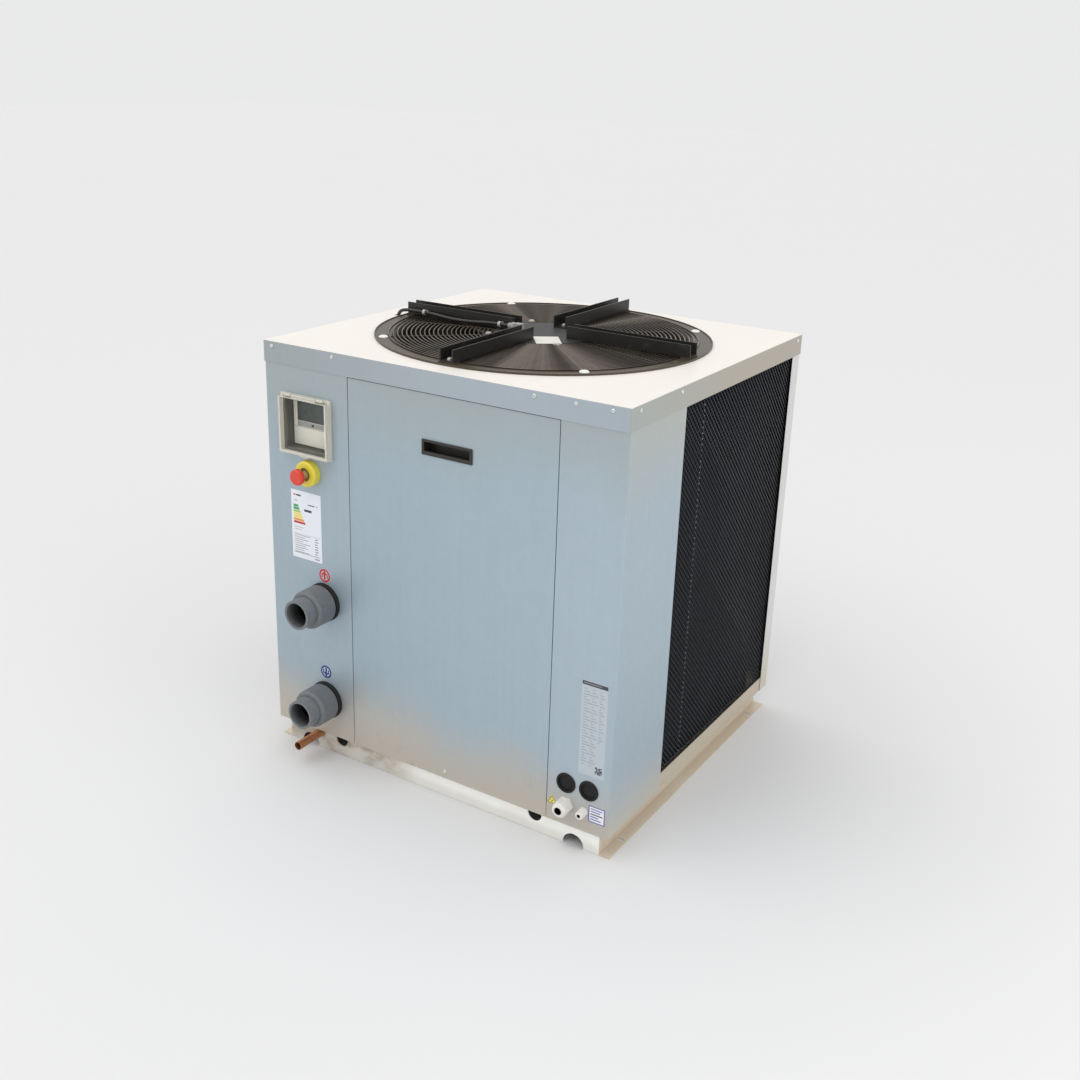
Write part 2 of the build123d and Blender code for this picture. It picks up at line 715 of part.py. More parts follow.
def side_guard():
    """Mesh guard of the right side."""
    y0 = wrap_back_y
    y1 = panel_y - sheet - mesh_t - flange
    z0 = tray_rim_z - 8
    middle = (guard_x - mesh_t, (y0 + y1) / 2, (z0 + mesh_top_z) / 2)
    sheet_plane = Plane(middle, x_dir=(0, 1, 0), z_dir=(1, 0, 0))
    return sheet_plane * guard_sheet(y1 - y0, mesh_top_z - z0)


def back_guard():
    """Mesh guard of the back."""
    z0 = tray_rim_z - 8
    middle = (0, guard_y, (z0 + mesh_top_z) / 2)
    sheet_plane = Plane(middle, x_dir=(1, 0, 0), z_dir=(0, -1, 0))
    return sheet_plane * guard_sheet(2 * (guard_x - mesh_t - 12), mesh_top_z - z0)


# ---------------------------------------------------------------- controls


def controller_box():
    """Open-fronted recess behind the window."""
    x0 = window_x - recess_w / 2
    x1 = window_x + recess_w / 2
    z0 = window_z - recess_h / 2
    z1 = window_z + recess_h / 2
    back = front + recess_depth
    box = block(x0, x1, front, back, z0, z1)
    return box - block(x0 + 2, x1 - 2, front - 1, back - 2, z0 + 2, z1 - 2)


def controller_body():
    """Room-controller case with its screen seat and key hole."""
    back = front + recess_depth - 2
    face = back - controller_t
    case = block(window_x - controller_w / 2, window_x + controller_w / 2, face, back,
                 window_z - controller_h / 2, window_z + controller_h / 2)
    case -= controller_screen()
    return case - rod_y(key_r + hole_play, face - 1, face + 8, window_x, key_z)


def controller_screen():
    """Display window, flush with the case."""
    face = front + recess_depth - 2 - controller_t
    return block(window_x - screen_w / 2, window_x + screen_w / 2, face, face + 2,
                 screen_z - screen_h / 2, screen_z + screen_h / 2)


def controller_key():
    """Push key under the display."""
    face = front + recess_depth - 2 - controller_t
    return rod_y(key_r, face - 2, face + 8 - key_travel - hole_play, window_x, key_z)


def window_frame():
    """Surround on the panel, with two hinge knuckles at the top."""
    x0 = window_x - window_w / 2
    x1 = window_x + window_w / 2
    face = front - window_frame_t
    frame = block(x0, x1, face, front, window_z - window_h / 2, window_z + window_h / 2)
    half_w = recess_w / 2 - 2
    half_h = recess_h / 2 - 2
    frame -= block(window_x - half_w, window_x + half_w, face - 1, front + 1,
                   window_z - half_h, window_z + half_h)
    for x in (window_x - 50, window_x + 50):
        knuckle = rod_x(knuckle_r, x - 10, x + 10, hinge_y, hinge_z)
        knuckle += block(x - 10, x + 10, hinge_y, face + 1, hinge_z - 2, hinge_z + 2)
        frame += knuckle
    return frame - rod_x(hinge_pin_r, window_x - 70, window_x + 70, hinge_y, hinge_z)


def window_cover():
    """Clear hinged cover with a latch tab at its lower edge."""
    half = window_w / 2 - 2
    back = front - window_frame_t - hole_play
    face = back - cover_depth
    cover = block(window_x - half, window_x + half, face, back, cover_z0, cover_z1)
    cover -= block(window_x - half + cover_wall, window_x + half - cover_wall, face + cover_wall, back + 1,
                   cover_z0 + cover_wall, cover_z1 - cover_wall)
    cover += rod_x(knuckle_r, window_x - 38, window_x + 38, hinge_y, hinge_z)
    cover += block(window_x - 38, window_x + 38, hinge_y - knuckle_r, hinge_y, cover_z1 - 1, hinge_z)
    cover += block(window_x - 11, window_x + 11, face + 3, face + 9, cover_z0 - 6, cover_z0 + 1)
    return cover - rod_x(hinge_pin_r + bearing_play, window_x - 70, window_x + 70, hinge_y, hinge_z)


def window_hinge_pin():
    """Pin pressed into the frame's knuckles."""
    return rod_x(hinge_pin_r, window_x - 60.5, window_x + 60.5, hinge_y, hinge_z)


def estop_collar():
    """Yellow surround of the stop button."""
    collar = rod_y(collar_r, front - collar_t, front, estop_x, estop_z)
    collar = fillet(collar.edges().group_by(Axis.Y)[0], 6)
    return collar - rod_y(collar_bore_r, front - collar_t - 1, front + 1, estop_x, estop_z)


def estop_block():
    """Threaded barrel with its bezel, and the contact block behind the panel."""
    barrel_y0 = front - collar_t + 5
    piece = rod_y(barrel_r, barrel_y0, front + 8, estop_x, estop_z)
    piece += rod_y(collar_bore_r - 0.5, barrel_y0 + 2, barrel_y0 + 8, estop_x, estop_z)
    piece += block(estop_x - 15, estop_x + 15, front + 8, front + 50, estop_z - 20, estop_z + 20)
    return piece - rod_y(stem_r + bearing_play, barrel_y0 - 1, front + 30, estop_x, estop_z)


def estop_stem():
    """Sliding plunger with a spigot for the head."""
    stem = rod_y(stem_r, stem_y0, front + 30 - estop_travel - 1, estop_x, estop_z)
    return stem + rod_y(5, stem_y0 - 8, stem_y0, estop_x, estop_z)


def estop_mushroom():
    """Red head that twists on the plunger's spigot."""
    head = rod_y(mushroom_r, stem_y0 - mushroom_t, stem_y0, estop_x, estop_z)
    head = fillet(head.edges().group_by(Axis.Y)[0], 5)
    head = fillet(head.edges().group_by(Axis.Y)[-1], 2)
    return head - rod_y(5 + bearing_play, stem_y0 - 9, stem_y0 + 1, estop_x, estop_z)


# ---------------------------------------------------------------- water side
def union_body(z):
    """Fixed half of a union: threaded end outside, pipe to the heat exchanger inside."""
    face = nut_y1 - (nut_len - 27)
    piece = rod_y(pipe_r, face, hx_port_y, union_x, z)
    piece += rod_y(thread_r, face + 1, nut_y1, union_x, z)
    return piece - rod_y(water_r, face - 1, hx_port_y + 1, union_x, z)


def union_tail(z):
    """Loose half of a union: collar inside the nut and a solvent socket outside."""
    face = nut_y1 - (nut_len - 27)
    piece = rod_y(pipe_r, tail_y0, face, union_x, z)
    piece += rod_y(thread_r - 0.1, face - 6, face, union_x, z)
    piece -= rod_y(water_r, tail_y0 - 1, face + 1, union_x, z)
    return piece - rod_y(socket_r, tail_y0 - 1, tail_y0 + socket_depth, union_x, z)


def union_nut(z):
    """Union nut with rounded shoulders; it turns freely on the tail."""
    face = nut_y1 - (nut_len - 27)
    nut = rod_y(nut_r, nut_y0, nut_y1, union_x, z)
    nut = fillet(nut.edges().group_by(Axis.Y)[0], 9)
    nut = fillet(nut.edges().group_by(Axis.Y)[-1], 4)
    nut -= rod_y(thread_r + nut_play, face - 6 - nut_play, nut_y1 + 1, union_x, z)
    return nut - rod_y(pipe_r + nut_play, nut_y0 - 1, nut_y1, union_x, z)


def pipe_gasket(z):
    """Rubber ring that closes the panel round a union."""
    ring = rod_y(gasket_r, front - gasket_t, front, union_x, z)
    ring = fillet(ring.edges().group_by(Axis.Y)[0], 3)
    ring += rod_y(gasket_r - 6.2, front, front + 5, union_x, z)
    return ring - rod_y(pipe_r, front - gasket_t - 1, front + 6, union_x, z)


def heat_exchanger():
    """Upright vessel with two water ports towards the front."""
    vessel = rod_z(hx_r, hx_z0, hx_z1, union_x, hx_y)
    vessel = fillet(vessel.edges(), 22)
    vessel += rod_z(hx_r - 25, tray_top_z, hx_z0 + 1, union_x, hx_y)
    vessel += rod_x(12, union_x, union_x + hx_r + 12, hx_y, liquid_z)
    for z in outlet_inlet:
        vessel += rod_y(pipe_r + 7, hx_port_y, hx_y, union_x, z)
        vessel -= rod_y(water_r, hx_port_y - 1, hx_y - hx_r + 20, union_x, z)
    return vessel


def drain_pipe():
    """Copper condensate drain from the tray to the front."""
    points = [(drain_x, drain_y, tray_top_z), (drain_x, drain_y, drain_z),
              (drain_x, front - drain_out, drain_z)]
    path = tube_path(points, [drain_bend])
    section = Circle(drain_r) - Circle(drain_r - drain_wall)
    return sweep(Plane(path @ 0, z_dir=path % 0) * section, path=path)


# ---------------------------------------------------------------- supply side


def blanking_grommet(x):
    """Closed rubber grommet with a shallow dish."""
    piece = rod_y(grommet_r, front - 3, front, x, grommet_z)
    piece = fillet(piece.edges().group_by(Axis.Y)[0], 1.5)
    piece += rod_y(grommet_neck_r, front, front + 8, x, grommet_z)
    return piece - rod_y(grommet_neck_r - 2.5, front - 4, front + 2, x, grommet_z)


def hex_y(r, y0, y1, x, z):
    """Hexagonal bar along Y."""
    flat = Plane((x, y1, z), x_dir=(1, 0, 0), z_dir=(0, -1, 0)) * RegularPolygon(r, 6)
    return extrude(flat, amount=y1 - y0)


def cable_gland(x, size):
    """Fixed half of a gland: hexagon outside, thread and locknut inside."""
    piece = hex_y(size["hex_r"], front - gland_hex_t, front, x, gland_z)
    piece += rod_y(size["thread_r"], front, front + 14, x, gland_z)
    piece += hex_y(size["hex_r"], front + sheet, front + sheet + 6, x, gland_z)
    return piece - rod_y(size["bore_r"], front - gland_hex_t - 1, front + 15, x, gland_z)


def gland_nut(x, size):
    """Domed clamping nut of a gland."""
    y0 = front - size["out"]
    y1 = front - gland_hex_t
    nut = hex_y(size["hex_r"], y0 + 10, y1, x, gland_z)
    dome = rod_y(size["dome_r"], y0, y0 + 11, x, gland_z)
    dome = fillet(dome.edges().group_by(Axis.Y)[0], size["dome_r"] / 3)
    return nut + dome - rod_y(size["bore_r"], y0 - 1, y1 + 1, x, gland_z)


def label(x0, x1, z0, z1):
    """Thin adhesive label on the front panels."""
    return block(x0, x1, front - label_t, front, z0, z1)


def notice_labels():
    """Small triangle and square notices beside the glands."""
    centre = Plane((seam_right_x + 15.5, front, gland_z - 2), x_dir=(1, 0, 0), z_dir=(0, -1, 0))
    triangle = extrude(centre * RegularPolygon(15, 3, rotation=90), amount=label_t)
    return triangle, label(half_w - 53, half_w - 10, 90, 133)


def flow_stickers():
    """Round outlet and inlet stickers above the unions."""
    return [rod_y(sticker_r, front - label_t, front, x, z) for x, z in sticker_places]


# ---------------------------------------------------------------- refrigerant side
def compressor():
    """Upright scroll compressor on a square foot plate."""
    shell = rod_z(comp_r, comp_z0, comp_z1, comp_x, comp_y)
    shell = fillet(shell.edges().group_by(Axis.Z)[-1], 45)
    foot_plate = comp_r + 15
    shell += block(comp_x - foot_plate, comp_x + foot_plate, comp_y - foot_plate, comp_y + foot_plate,
                   comp_z0 - 6, comp_z0 + 1)
    shell += rod_x(14, comp_x - comp_r - 15, comp_x - comp_r + 20, comp_y, suction_z)
    shell += rod_z(12, comp_z1 - 5, comp_z1 + 15, comp_x, comp_y)
    box_front = comp_y - comp_r - terminal_out
    shell += block(comp_x - terminal_w / 2, comp_x + terminal_w / 2, box_front, comp_y - comp_r + 25,
                   terminal_z, terminal_z + 90)
    return shell


def compressor_feet():
    """Four rubber feet under the compressor."""
    places = [(dx, dy) for dx in (-85, 85) for dy in (-85, 85)]
    return [rod_z(foot_r, tray_top_z, comp_z0 - 6, comp_x + dx, comp_y + dy) for dx, dy in places]


def accumulator():
    """Suction accumulator on a short stand."""
    shell = rod_z(acc_r, 125, acc_z1, acc_x, acc_y)
    shell = fillet(shell.edges(), 28)
    return shell + rod_z(30, tray_top_z, 130, acc_x, acc_y)


def reversing_valve():
    """Four-way valve: a level cylinder with one stub above and three below."""
    valve = rod_x(19, valve_x - 75, valve_x + 75, valve_y, valve_z)
    valve += rod_z(9, valve_z, valve_z + valve_stub, valve_x, valve_y)
    for dx in (-40, 0, 40):
        valve += rod_z(9, valve_z - valve_stub, valve_z, valve_x + dx, valve_y)
    return valve


def refrigerant_pipes():
    """Discharge, suction, gas, return and liquid lines."""
    top = valve_z + valve_stub
    low = valve_z - valve_stub
    over = top + 25
    gas_z = low - 30
    header_x = coil_x - coil_t / 2 - 8
    gas_x = valve_x - 40
    discharge = pipe([(comp_x, comp_y, comp_z1 + 15), (comp_x, comp_y, over), (valve_x, valve_y, over),
                      (valve_x, valve_y, top)], 8, 20)
    in_x = acc_x - acc_port
    out_x = acc_x + acc_port
    suction = pipe([(out_x, acc_y, acc_z1), (out_x, acc_y, suction_z), (acc_x + 40, comp_y, suction_z),
                    (comp_x - comp_r - 15, comp_y, suction_z)], 10, 16)
    gas = pipe([(gas_x, valve_y, low), (gas_x, valve_y, gas_z), (gas_x, header_y, gas_z),
                (header_r - header_x, header_y, gas_z)], 10, 12)
    back = pipe([(valve_x, valve_y, low), (valve_x, valve_y, return_z), (in_x, acc_y, return_z),
                 (in_x, acc_y, acc_z1)], 10, 24)
    liquid = pipe([(union_x + hx_r + 12, hx_y, liquid_z), (header_x, hx_y, liquid_z),
                   (header_x, header_y - header_r, liquid_z)], 6, 24)
    return discharge, suction, gas, back, liquid


def electrical_box():
    """Sheet box for the power parts, open towards the access opening."""
    box = block(ebox_x0, ebox_x1, ebox_y0, ebox_y1, ebox_z0, ebox_z1)
    return box - block(ebox_x0 - 1, ebox_x1 - sheet, ebox_y0 + sheet, ebox_y1 - sheet,
                       ebox_z0 + sheet, ebox_z1 - sheet)


def contactors():
    """Power contactors on the side wall of the electrical box."""
    wall = ebox_x1 - sheet
    return [block(wall - 70, wall, ebox_y0 + 15, ebox_y1 - 15, z, z + 85) for z in contactor_z]


# ---------------------------------------------------------------- write every node
def build():
    """Build and write all nodes."""
    save("base_tray", base_tray())
    save("cross_rails", cross_rail(-1), cross_rail(1))
    save("side_rails", side_rail(), mirror_x(side_rail()))
    save("left_front_panel", left_front_panel())
    save("right_front_panel", right_front_panel())
    save("access_panel", access_panel())
    save("handle_cup", handle_cup())
    save("access_screw", cabinet_screw((handle_x, front, access_screw_z), (0, -1, 0)))
    save("front_posts", front_post(seam_left_x), front_post(seam_right_x))
    save("rear_posts", rear_post(), mirror_x(rear_post()))
    save("top_cover", top_cover())
    save("cabinet_screws", *[cabinet_screw(place, outward) for place, outward in skirt_screws()])
    save("fan_ring", fan_ring())
    save("fan_guard", fan_guard())
    save("fan_arms", *[fan_arm(angle) for angle in quarter_turns])
    save("fan_bolts", *fan_bolts())
    save("motor_stator", motor_stator())
    save("motor_label", at_fan(Pos(85, 0, guard_z1 + label_t / 2) * Box(80, 62, label_t), -52))
    save("motor_gland", motor_gland())
    save("motor_cable", motor_cable())
    save("cable_clips", *[cable_clip(run) for run in clip_runs])
    save("motor_rotor", motor_rotor())
    save("fan_impeller", fan_impeller())
    save("coil_fins", coil_fins())
    save("coil_end_plates", coil_end_plate(), mirror_x(coil_end_plate()))
    pipework = coil_pipework()
    save("coil_pipework", *pipework, *[mirror_x(piece) for piece in pipework])
    save("coil_side_guards", side_guard(), mirror_x(side_guard()))
    save("coil_back_guard", back_guard())
    save("controller_box", controller_box())
    save("controller_body", controller_body())
    save("controller_screen", controller_screen())
    save("controller_key", controller_key())
    save("window_frame", window_frame())
    save("window_cover", window_cover())
    save("window_hinge_pin", window_hinge_pin())
    save("estop_collar", estop_collar())
    save("estop_block", estop_block())
    save("estop_stem", estop_stem())
    save("estop_mushroom", estop_mushroom())
    save("energy_label", label(window_x - 60, window_x + 36, 532, 710))
    save("nameplate", label(half_w - 85, half_w - 18, 207, 443))
    save("notice_labels", *notice_labels())
    save("flow_stickers", *flow_stickers())
    save("union_bodies", *[union_body(z) for z in outlet_inlet])
    save("union_tails", *[union_tail(z) for z in outlet_inlet])
    save("outlet_union_nut", union_nut(outlet_z))
    save("inlet_union_nut", union_nut(inlet_z))
    save("pipe_gaskets", *[pipe_gasket(z) for z in outlet_inlet])
    save("heat_exchanger", heat_exchanger())
    save("drain_pipe", drain_pipe())
    save("blanking_grommets", *[blanking_grommet(x) for x in grommet_x])
    save("cable_glands", cable_gland(gland_big_x, gland_big), cable_gland(gland_small_x, gland_small))
    save("gland_nuts", gland_nut(gland_big_x, gland_big), gland_nut(gland_small_x, gland_small))
    save("compressor", compressor())
    save("compressor_feet", *compressor_feet())
    save("accumulator", accumulator())
    save("reversing_valve", reversing_valve())
    save("refrigerant_pipes", *refrigerant_pipes())
    save("electrical_box", electrical_box())
    save("contactors", *contactors())


build()
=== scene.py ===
"""Pool heat pump with a vertical fan: finishes, fine parts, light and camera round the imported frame."""

import logging
import math
from dataclasses import dataclass, field
from enum import Enum
from typing import Callable, Iterable, Sequence, Union

import bpy
from mathutils import Matrix, Vector


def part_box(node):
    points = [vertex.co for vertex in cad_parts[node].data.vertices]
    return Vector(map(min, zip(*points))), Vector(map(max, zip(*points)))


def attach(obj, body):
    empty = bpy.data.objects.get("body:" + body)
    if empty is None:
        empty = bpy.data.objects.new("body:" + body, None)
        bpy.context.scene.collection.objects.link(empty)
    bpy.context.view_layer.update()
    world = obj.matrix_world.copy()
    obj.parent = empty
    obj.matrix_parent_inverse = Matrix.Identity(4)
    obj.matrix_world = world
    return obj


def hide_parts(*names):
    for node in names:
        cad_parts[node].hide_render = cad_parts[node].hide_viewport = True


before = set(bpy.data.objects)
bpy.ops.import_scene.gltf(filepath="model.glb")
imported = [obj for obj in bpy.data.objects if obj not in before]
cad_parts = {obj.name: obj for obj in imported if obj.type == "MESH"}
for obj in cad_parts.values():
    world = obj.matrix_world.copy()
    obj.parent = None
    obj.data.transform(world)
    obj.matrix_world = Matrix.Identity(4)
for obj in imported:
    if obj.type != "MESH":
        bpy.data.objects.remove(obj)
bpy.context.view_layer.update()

LOG = logging.getLogger("pool_heat_pump")
WINDOW_X, WINDOW_Z = -0.371, 0.880  # middle of the controller's window
PANEL_Y = -0.463  # outer face of the front panels
NEVER = 9.0  # a height above everything, where a sheet gets no greyer head

Colour = tuple[float, float, float]
Point = tuple[float, float, float]
Mesh = bpy.types.Object


class Body(Enum):
    """The moving groups of the frame that new pieces ride on."""

    CABINET = "cabinet"
    DOOR = "access_door"


class Axis(Enum):
    """Directions that turned pieces point along."""

    X = (1.0, 0.0, 0.0)
    Y = (0.0, 1.0, 0.0)
    Z = (0.0, 0.0, 1.0)
    FRONT = (0.0, -1.0, 0.0)
    LEFT = (-1.0, 0.0, 0.0)


# ---------------------------------------------------------------- shader maths
class Out:
    """A node's output, on which shader sums are written as Python expressions."""

    def __init__(self, graph: "Graph", socket: bpy.types.NodeSocket) -> None:
        """Wraps one output socket of a graph.

        Args:
            graph: The graph that the socket belongs to.
            socket: The socket.
        """
        self.graph = graph
        self.socket = socket

    def sum(self, operation: str, first: "Value", second: "Value" = 0.0) -> "Out":
        """Adds one Math node.

        Args:
            operation: Name of the Math node's operation.
            first: First number or link.
            second: Second number or link.

        Returns:
            The node's output.
        """
        return self.graph.node("ShaderNodeMath", {"operation": operation}, {0: first, 1: second})

    def __add__(self, other: "Value") -> "Out":
        """self + other."""
        return self.sum("ADD", self, other)

    __radd__ = __add__

    def __sub__(self, other: "Value") -> "Out":
        """self - other."""
        return self.sum("SUBTRACT", self, other)

    def __rsub__(self, other: "Value") -> "Out":
        """other - self."""
        return self.sum("SUBTRACT", other, self)

    def __mul__(self, other: "Value") -> "Out":
        """self * other."""
        return self.sum("MULTIPLY", self, other)

    __rmul__ = __mul__

    def __abs__(self) -> "Out":
        """Size without sign."""
        return self.sum("ABSOLUTE", self)


Value = Union[Out, float, Sequence[float]]


class Graph:
    """The node tree of one finish."""

    def __init__(self, material: bpy.types.Material) -> None:
        """Empties the material's tree, ready for a pattern."""
        material.use_nodes = True
        self.tree = material.node_tree
        self.tree.nodes.clear()

    def node(self, kind: str, settings: dict | None = None, inputs: dict | None = None,
             output: int = 0) -> Out:
        """Makes one node.

        Args:
            kind: Blender's name of the node type.
            settings: Attributes set before the sockets.
            inputs: Values or links by socket name or number.
            output: Number of the output socket to return.

        Returns:
            The chosen output.
        """
        made = self.tree.nodes.new(kind)
        for key, setting in (settings or {}).items():
            setattr(made, key, setting)
        for key, value in (inputs or {}).items():
            if isinstance(value, Out):
                self.tree.links.new(value.socket, made.inputs[key])
            elif hasattr(value, "__len__") and made.inputs[key].type == "RGBA":
                made.inputs[key].default_value = (*value, 1.0)
            else:
                made.inputs[key].default_value = value
        return Out(self, made.outputs[output])

    def place(self) -> Out:
        """Object coordinates."""
        return self.node("ShaderNodeTexCoord", output=3)

    def axes(self) -> tuple[Out, Out, Out]:
        """The x, y and z of the object coordinates, in metres.

        Returns:
            The three outputs.
        """
        split = self.node("ShaderNodeSeparateXYZ", inputs={0: self.place()})
        outputs = split.socket.node.outputs
        return tuple(Out(self, outputs[i]) for i in range(3))

    def stretched(self, scale: Point, offset: Point = (0.0, 0.0, 0.0)) -> Out:
        """Object coordinates through a Mapping node.

        Args:
            scale: How many cells per metre in each direction.
            offset: Shift of the pattern.

        Returns:
            The mapped coordinates.
        """
        inputs = {"Vector": self.place(), "Scale": scale, "Location": offset}
        return self.node("ShaderNodeMapping", inputs=inputs)

    def noise(self, scale: Point, detail: float = 2.0, rough: float = 0.5,
              offset: Point = (0.0, 0.0, 0.0)) -> Out:
        """Noise from 0 to 1 with its own scale in each direction.

        Args:
            scale: Cells per metre along each axis.
            detail: Octaves.
            rough: Share of the finer octaves.
            offset: Shift of the pattern.

        Returns:
            The noise value.
        """
        vector = self.stretched(scale, offset)
        inputs = {"Vector": vector, "Scale": 1.0, "Detail": detail, "Roughness": rough}
        return self.node("ShaderNodeTexNoise", inputs=inputs)

    def streak(self, along: Out, detail: float) -> Out:
        """Noise from 0 to 1 that varies along one value.

        Args:
            along: The value, in cells.
            detail: Octaves.

        Returns:
            The noise value.
        """
        inputs = {"W": along, "Scale": 1.0, "Detail": detail}
        return self.node("ShaderNodeTexNoise", {"noise_dimensions": "1D"}, inputs)

    def cells(self, scale: Point, output: int = 0) -> Out:
        """Voronoi cells.

        Args:
            scale: Cells per metre along each axis.
            output: 0 for the distance, 1 for the cell's colour.

        Returns:
            The chosen output.
        """
        inputs = {"Vector": self.stretched(scale), "Scale": 1.0}
        return self.node("ShaderNodeTexVoronoi", inputs=inputs, output=output)

    def remap(self, value: Out, low: float, high: float, to_low: float = 0.0, to_high: float = 1.0) -> Out:
        """Smooth step between two values.

        Args:
            value: What is remapped.
            low: Value that gives to_low.
            high: Value that gives to_high.
            to_low: Result at low.
            to_high: Result at high.

        Returns:
            The clamped result.
        """
        settings = {"interpolation_type": "SMOOTHSTEP"}
        return self.node("ShaderNodeMapRange", settings, {0: value, 1: low, 2: high, 3: to_low, 4: to_high})

    def inside(self, value: Out, middle: float, half: float, soft: float = 0.0006) -> Out:
        """Mask that is 1 within half of the middle and 0 outside, with a soft edge."""
        return self.remap(abs(value - middle), half - soft, half + soft, 1.0, 0.0)

    def mix(self, factor: Value, first: Value, second: Value, blend: str = "MIX") -> Out:
        """Mixes two colours.

        Args:
            factor: Share of the second colour.
            first: Colour or link.
            second: Colour or link.
            blend: Blend mode.

        Returns:
            The mixed colour.
        """
        settings = {"data_type": "RGBA", "blend_type": blend}
        return self.node("ShaderNodeMix", settings, {0: factor, 6: first, 7: second}, 2)

    def bump(self, height: Out, depth: float, strength: float = 1.0) -> Out:
        """Surface relief of a depth in metres."""
        inputs = {"Height": height, "Distance": depth, "Strength": strength}
        return self.node("ShaderNodeBump", inputs=inputs)

    def surface(self, **sockets: Value) -> None:
        """Ends the tree with a Principled shader.

        Args:
            sockets: Values or links by socket name, with underscores for spaces.
        """
        inputs = {key.replace("_", " "): value for key, value in sockets.items()}
        shader = self.node("ShaderNodeBsdfPrincipled", inputs=inputs)
        end = self.tree.nodes.new("ShaderNodeOutputMaterial")
        self.tree.links.new(shader.socket, end.inputs["Surface"])


# ---------------------------------------------------------------- finishes
@dataclass(frozen=True)
class Finish:
    """A named finish; each kind fills in its own pattern."""

    name: str

    def material(self) -> bpy.types.Material:
        """The finish's material, made once.

        Returns:
            The material.
        """
        found = bpy.data.materials.get(self.name)
        if found is None:
            found = bpy.data.materials.new(self.name)
            self.pattern(Graph(found))
        return found

    def pattern(self, g: Graph) -> None:
        """Builds the nodes; overridden by each kind of finish.

        Args:
            g: The finish's empty graph.
        """
        raise NotImplementedError


@dataclass(frozen=True)
class RolledSheet(Finish):
    """Bright rolled steel sheet with a cool body, fine rolling lines, a greyer head, and a warm foot that is
    painted reflection of the floor.
    """

    tone: Colour = (0.388, 0.473, 0.535)
    # warm and side_warm are painted reflection of a warm floor, laid over the lower part of the front and the
    # side faces.
    warm: Colour = (0.555, 0.495, 0.415)
    side_warm: Colour = (0.62, 0.565, 0.455)
    # The two head tones turn the sheet greyer towards the top, on the front and on the side faces.
    head_grey: Colour = (0.375, 0.412, 0.400)
    side_head_grey: Colour = (0.475, 0.475, 0.410)
    foot: float = 0.045
    foot_top: float = 0.27
    side_drop: float = 0.02
    head: float = 1.06
    metallic: float = 0.45
    gloss: float = 0.42
    # Painted light: how much lighter the front face gets towards the right.
    drift: float = 0.14
    front_y: float = -0.460
    lean: Point = (60.0, 60.0, 0.8)

    def pattern(self, g: Graph) -> None:
        """Vertical rolling lines, clouds, faint spangle, smudges, a greyer head, and a warm lower edge that
        is painted reflection of the floor.
        """
        x, y, z = g.axes()
        front = g.remap(y, self.front_y, self.front_y + 0.004, 1.0, 0.0)
        lines = g.noise(self.lean, 3.0, 0.6)
        fine = g.noise((420.0, 420.0, 2.5), 2.0)
        cloud = g.noise((3.2, 3.2, 1.9), 3.0, 0.55)
        spangle = g.cells((75.0, 75.0, 55.0), output=1)
        grain = g.node("ShaderNodeSeparateColor", inputs={0: spangle})
        # The x term is painted light: the front face turns lighter towards the right.
        shade = 0.90 + lines * 0.085 + fine * 0.045 + cloud * 0.075 + grain * 0.02 + x * front * self.drift
        body = g.mix(1.0, self.tone, self.grey(g, shade), "MULTIPLY")
        wave = (cloud - 0.5) * 0.22
        # Painted reflection: the foot mask lays the warm floor reflection over the lower part of the sheet.
        foot = g.remap(z + wave + (1 - front) * self.side_drop, self.foot, self.foot_top, 1.0, 0.0)
        # Greyer towards the top, on the front and on the side faces.
        high = g.remap(z + wave, self.head - 0.28, self.head, 0.0, 1.0)
        body = g.mix(foot * 0.9, body, g.mix(front, self.side_warm, self.warm))
        body = g.mix(high * 0.7, body, g.mix(front, self.side_head_grey, self.head_grey))
        dust = g.remap(g.noise((14.0, 14.0, 9.0), 4.0, 0.6, (3.0, 1.0, 0.0)), 0.62, 0.80)
        body = g.mix(dust * foot * 0.35, body, (0.36, 0.30, 0.235))
        body = self.extra(g, body, (x, y, z), cloud)
        rough = self.gloss + lines * 0.10 + dust * 0.12 - grain * 0.04
        relief = g.bump(lines * 0.6 + fine * 0.4 + cloud * 1.6, 0.00016, 0.5)
        g.surface(Base_Color=body, Roughness=rough, Metallic=self.metallic, Normal=relief)

    def extra(self, g: Graph, body: Out, place: tuple[Out, Out, Out], cloud: Out) -> Out:
        """Hook for a sheet with marks of its own; a plain sheet has none.

        Args:
            g: The finish's graph.
            body: Colour so far.
            place: The x, y and z of the object coordinates.
            cloud: Slow noise of the sheet.

        Returns:
            The colour with its marks.
        """
        return body

    @staticmethod
    def grey(g: Graph, value: Out) -> Out:
        """A grey colour of a varying value."""
        return g.node("ShaderNodeCombineColor", inputs={0: value, 1: value, 2: value})


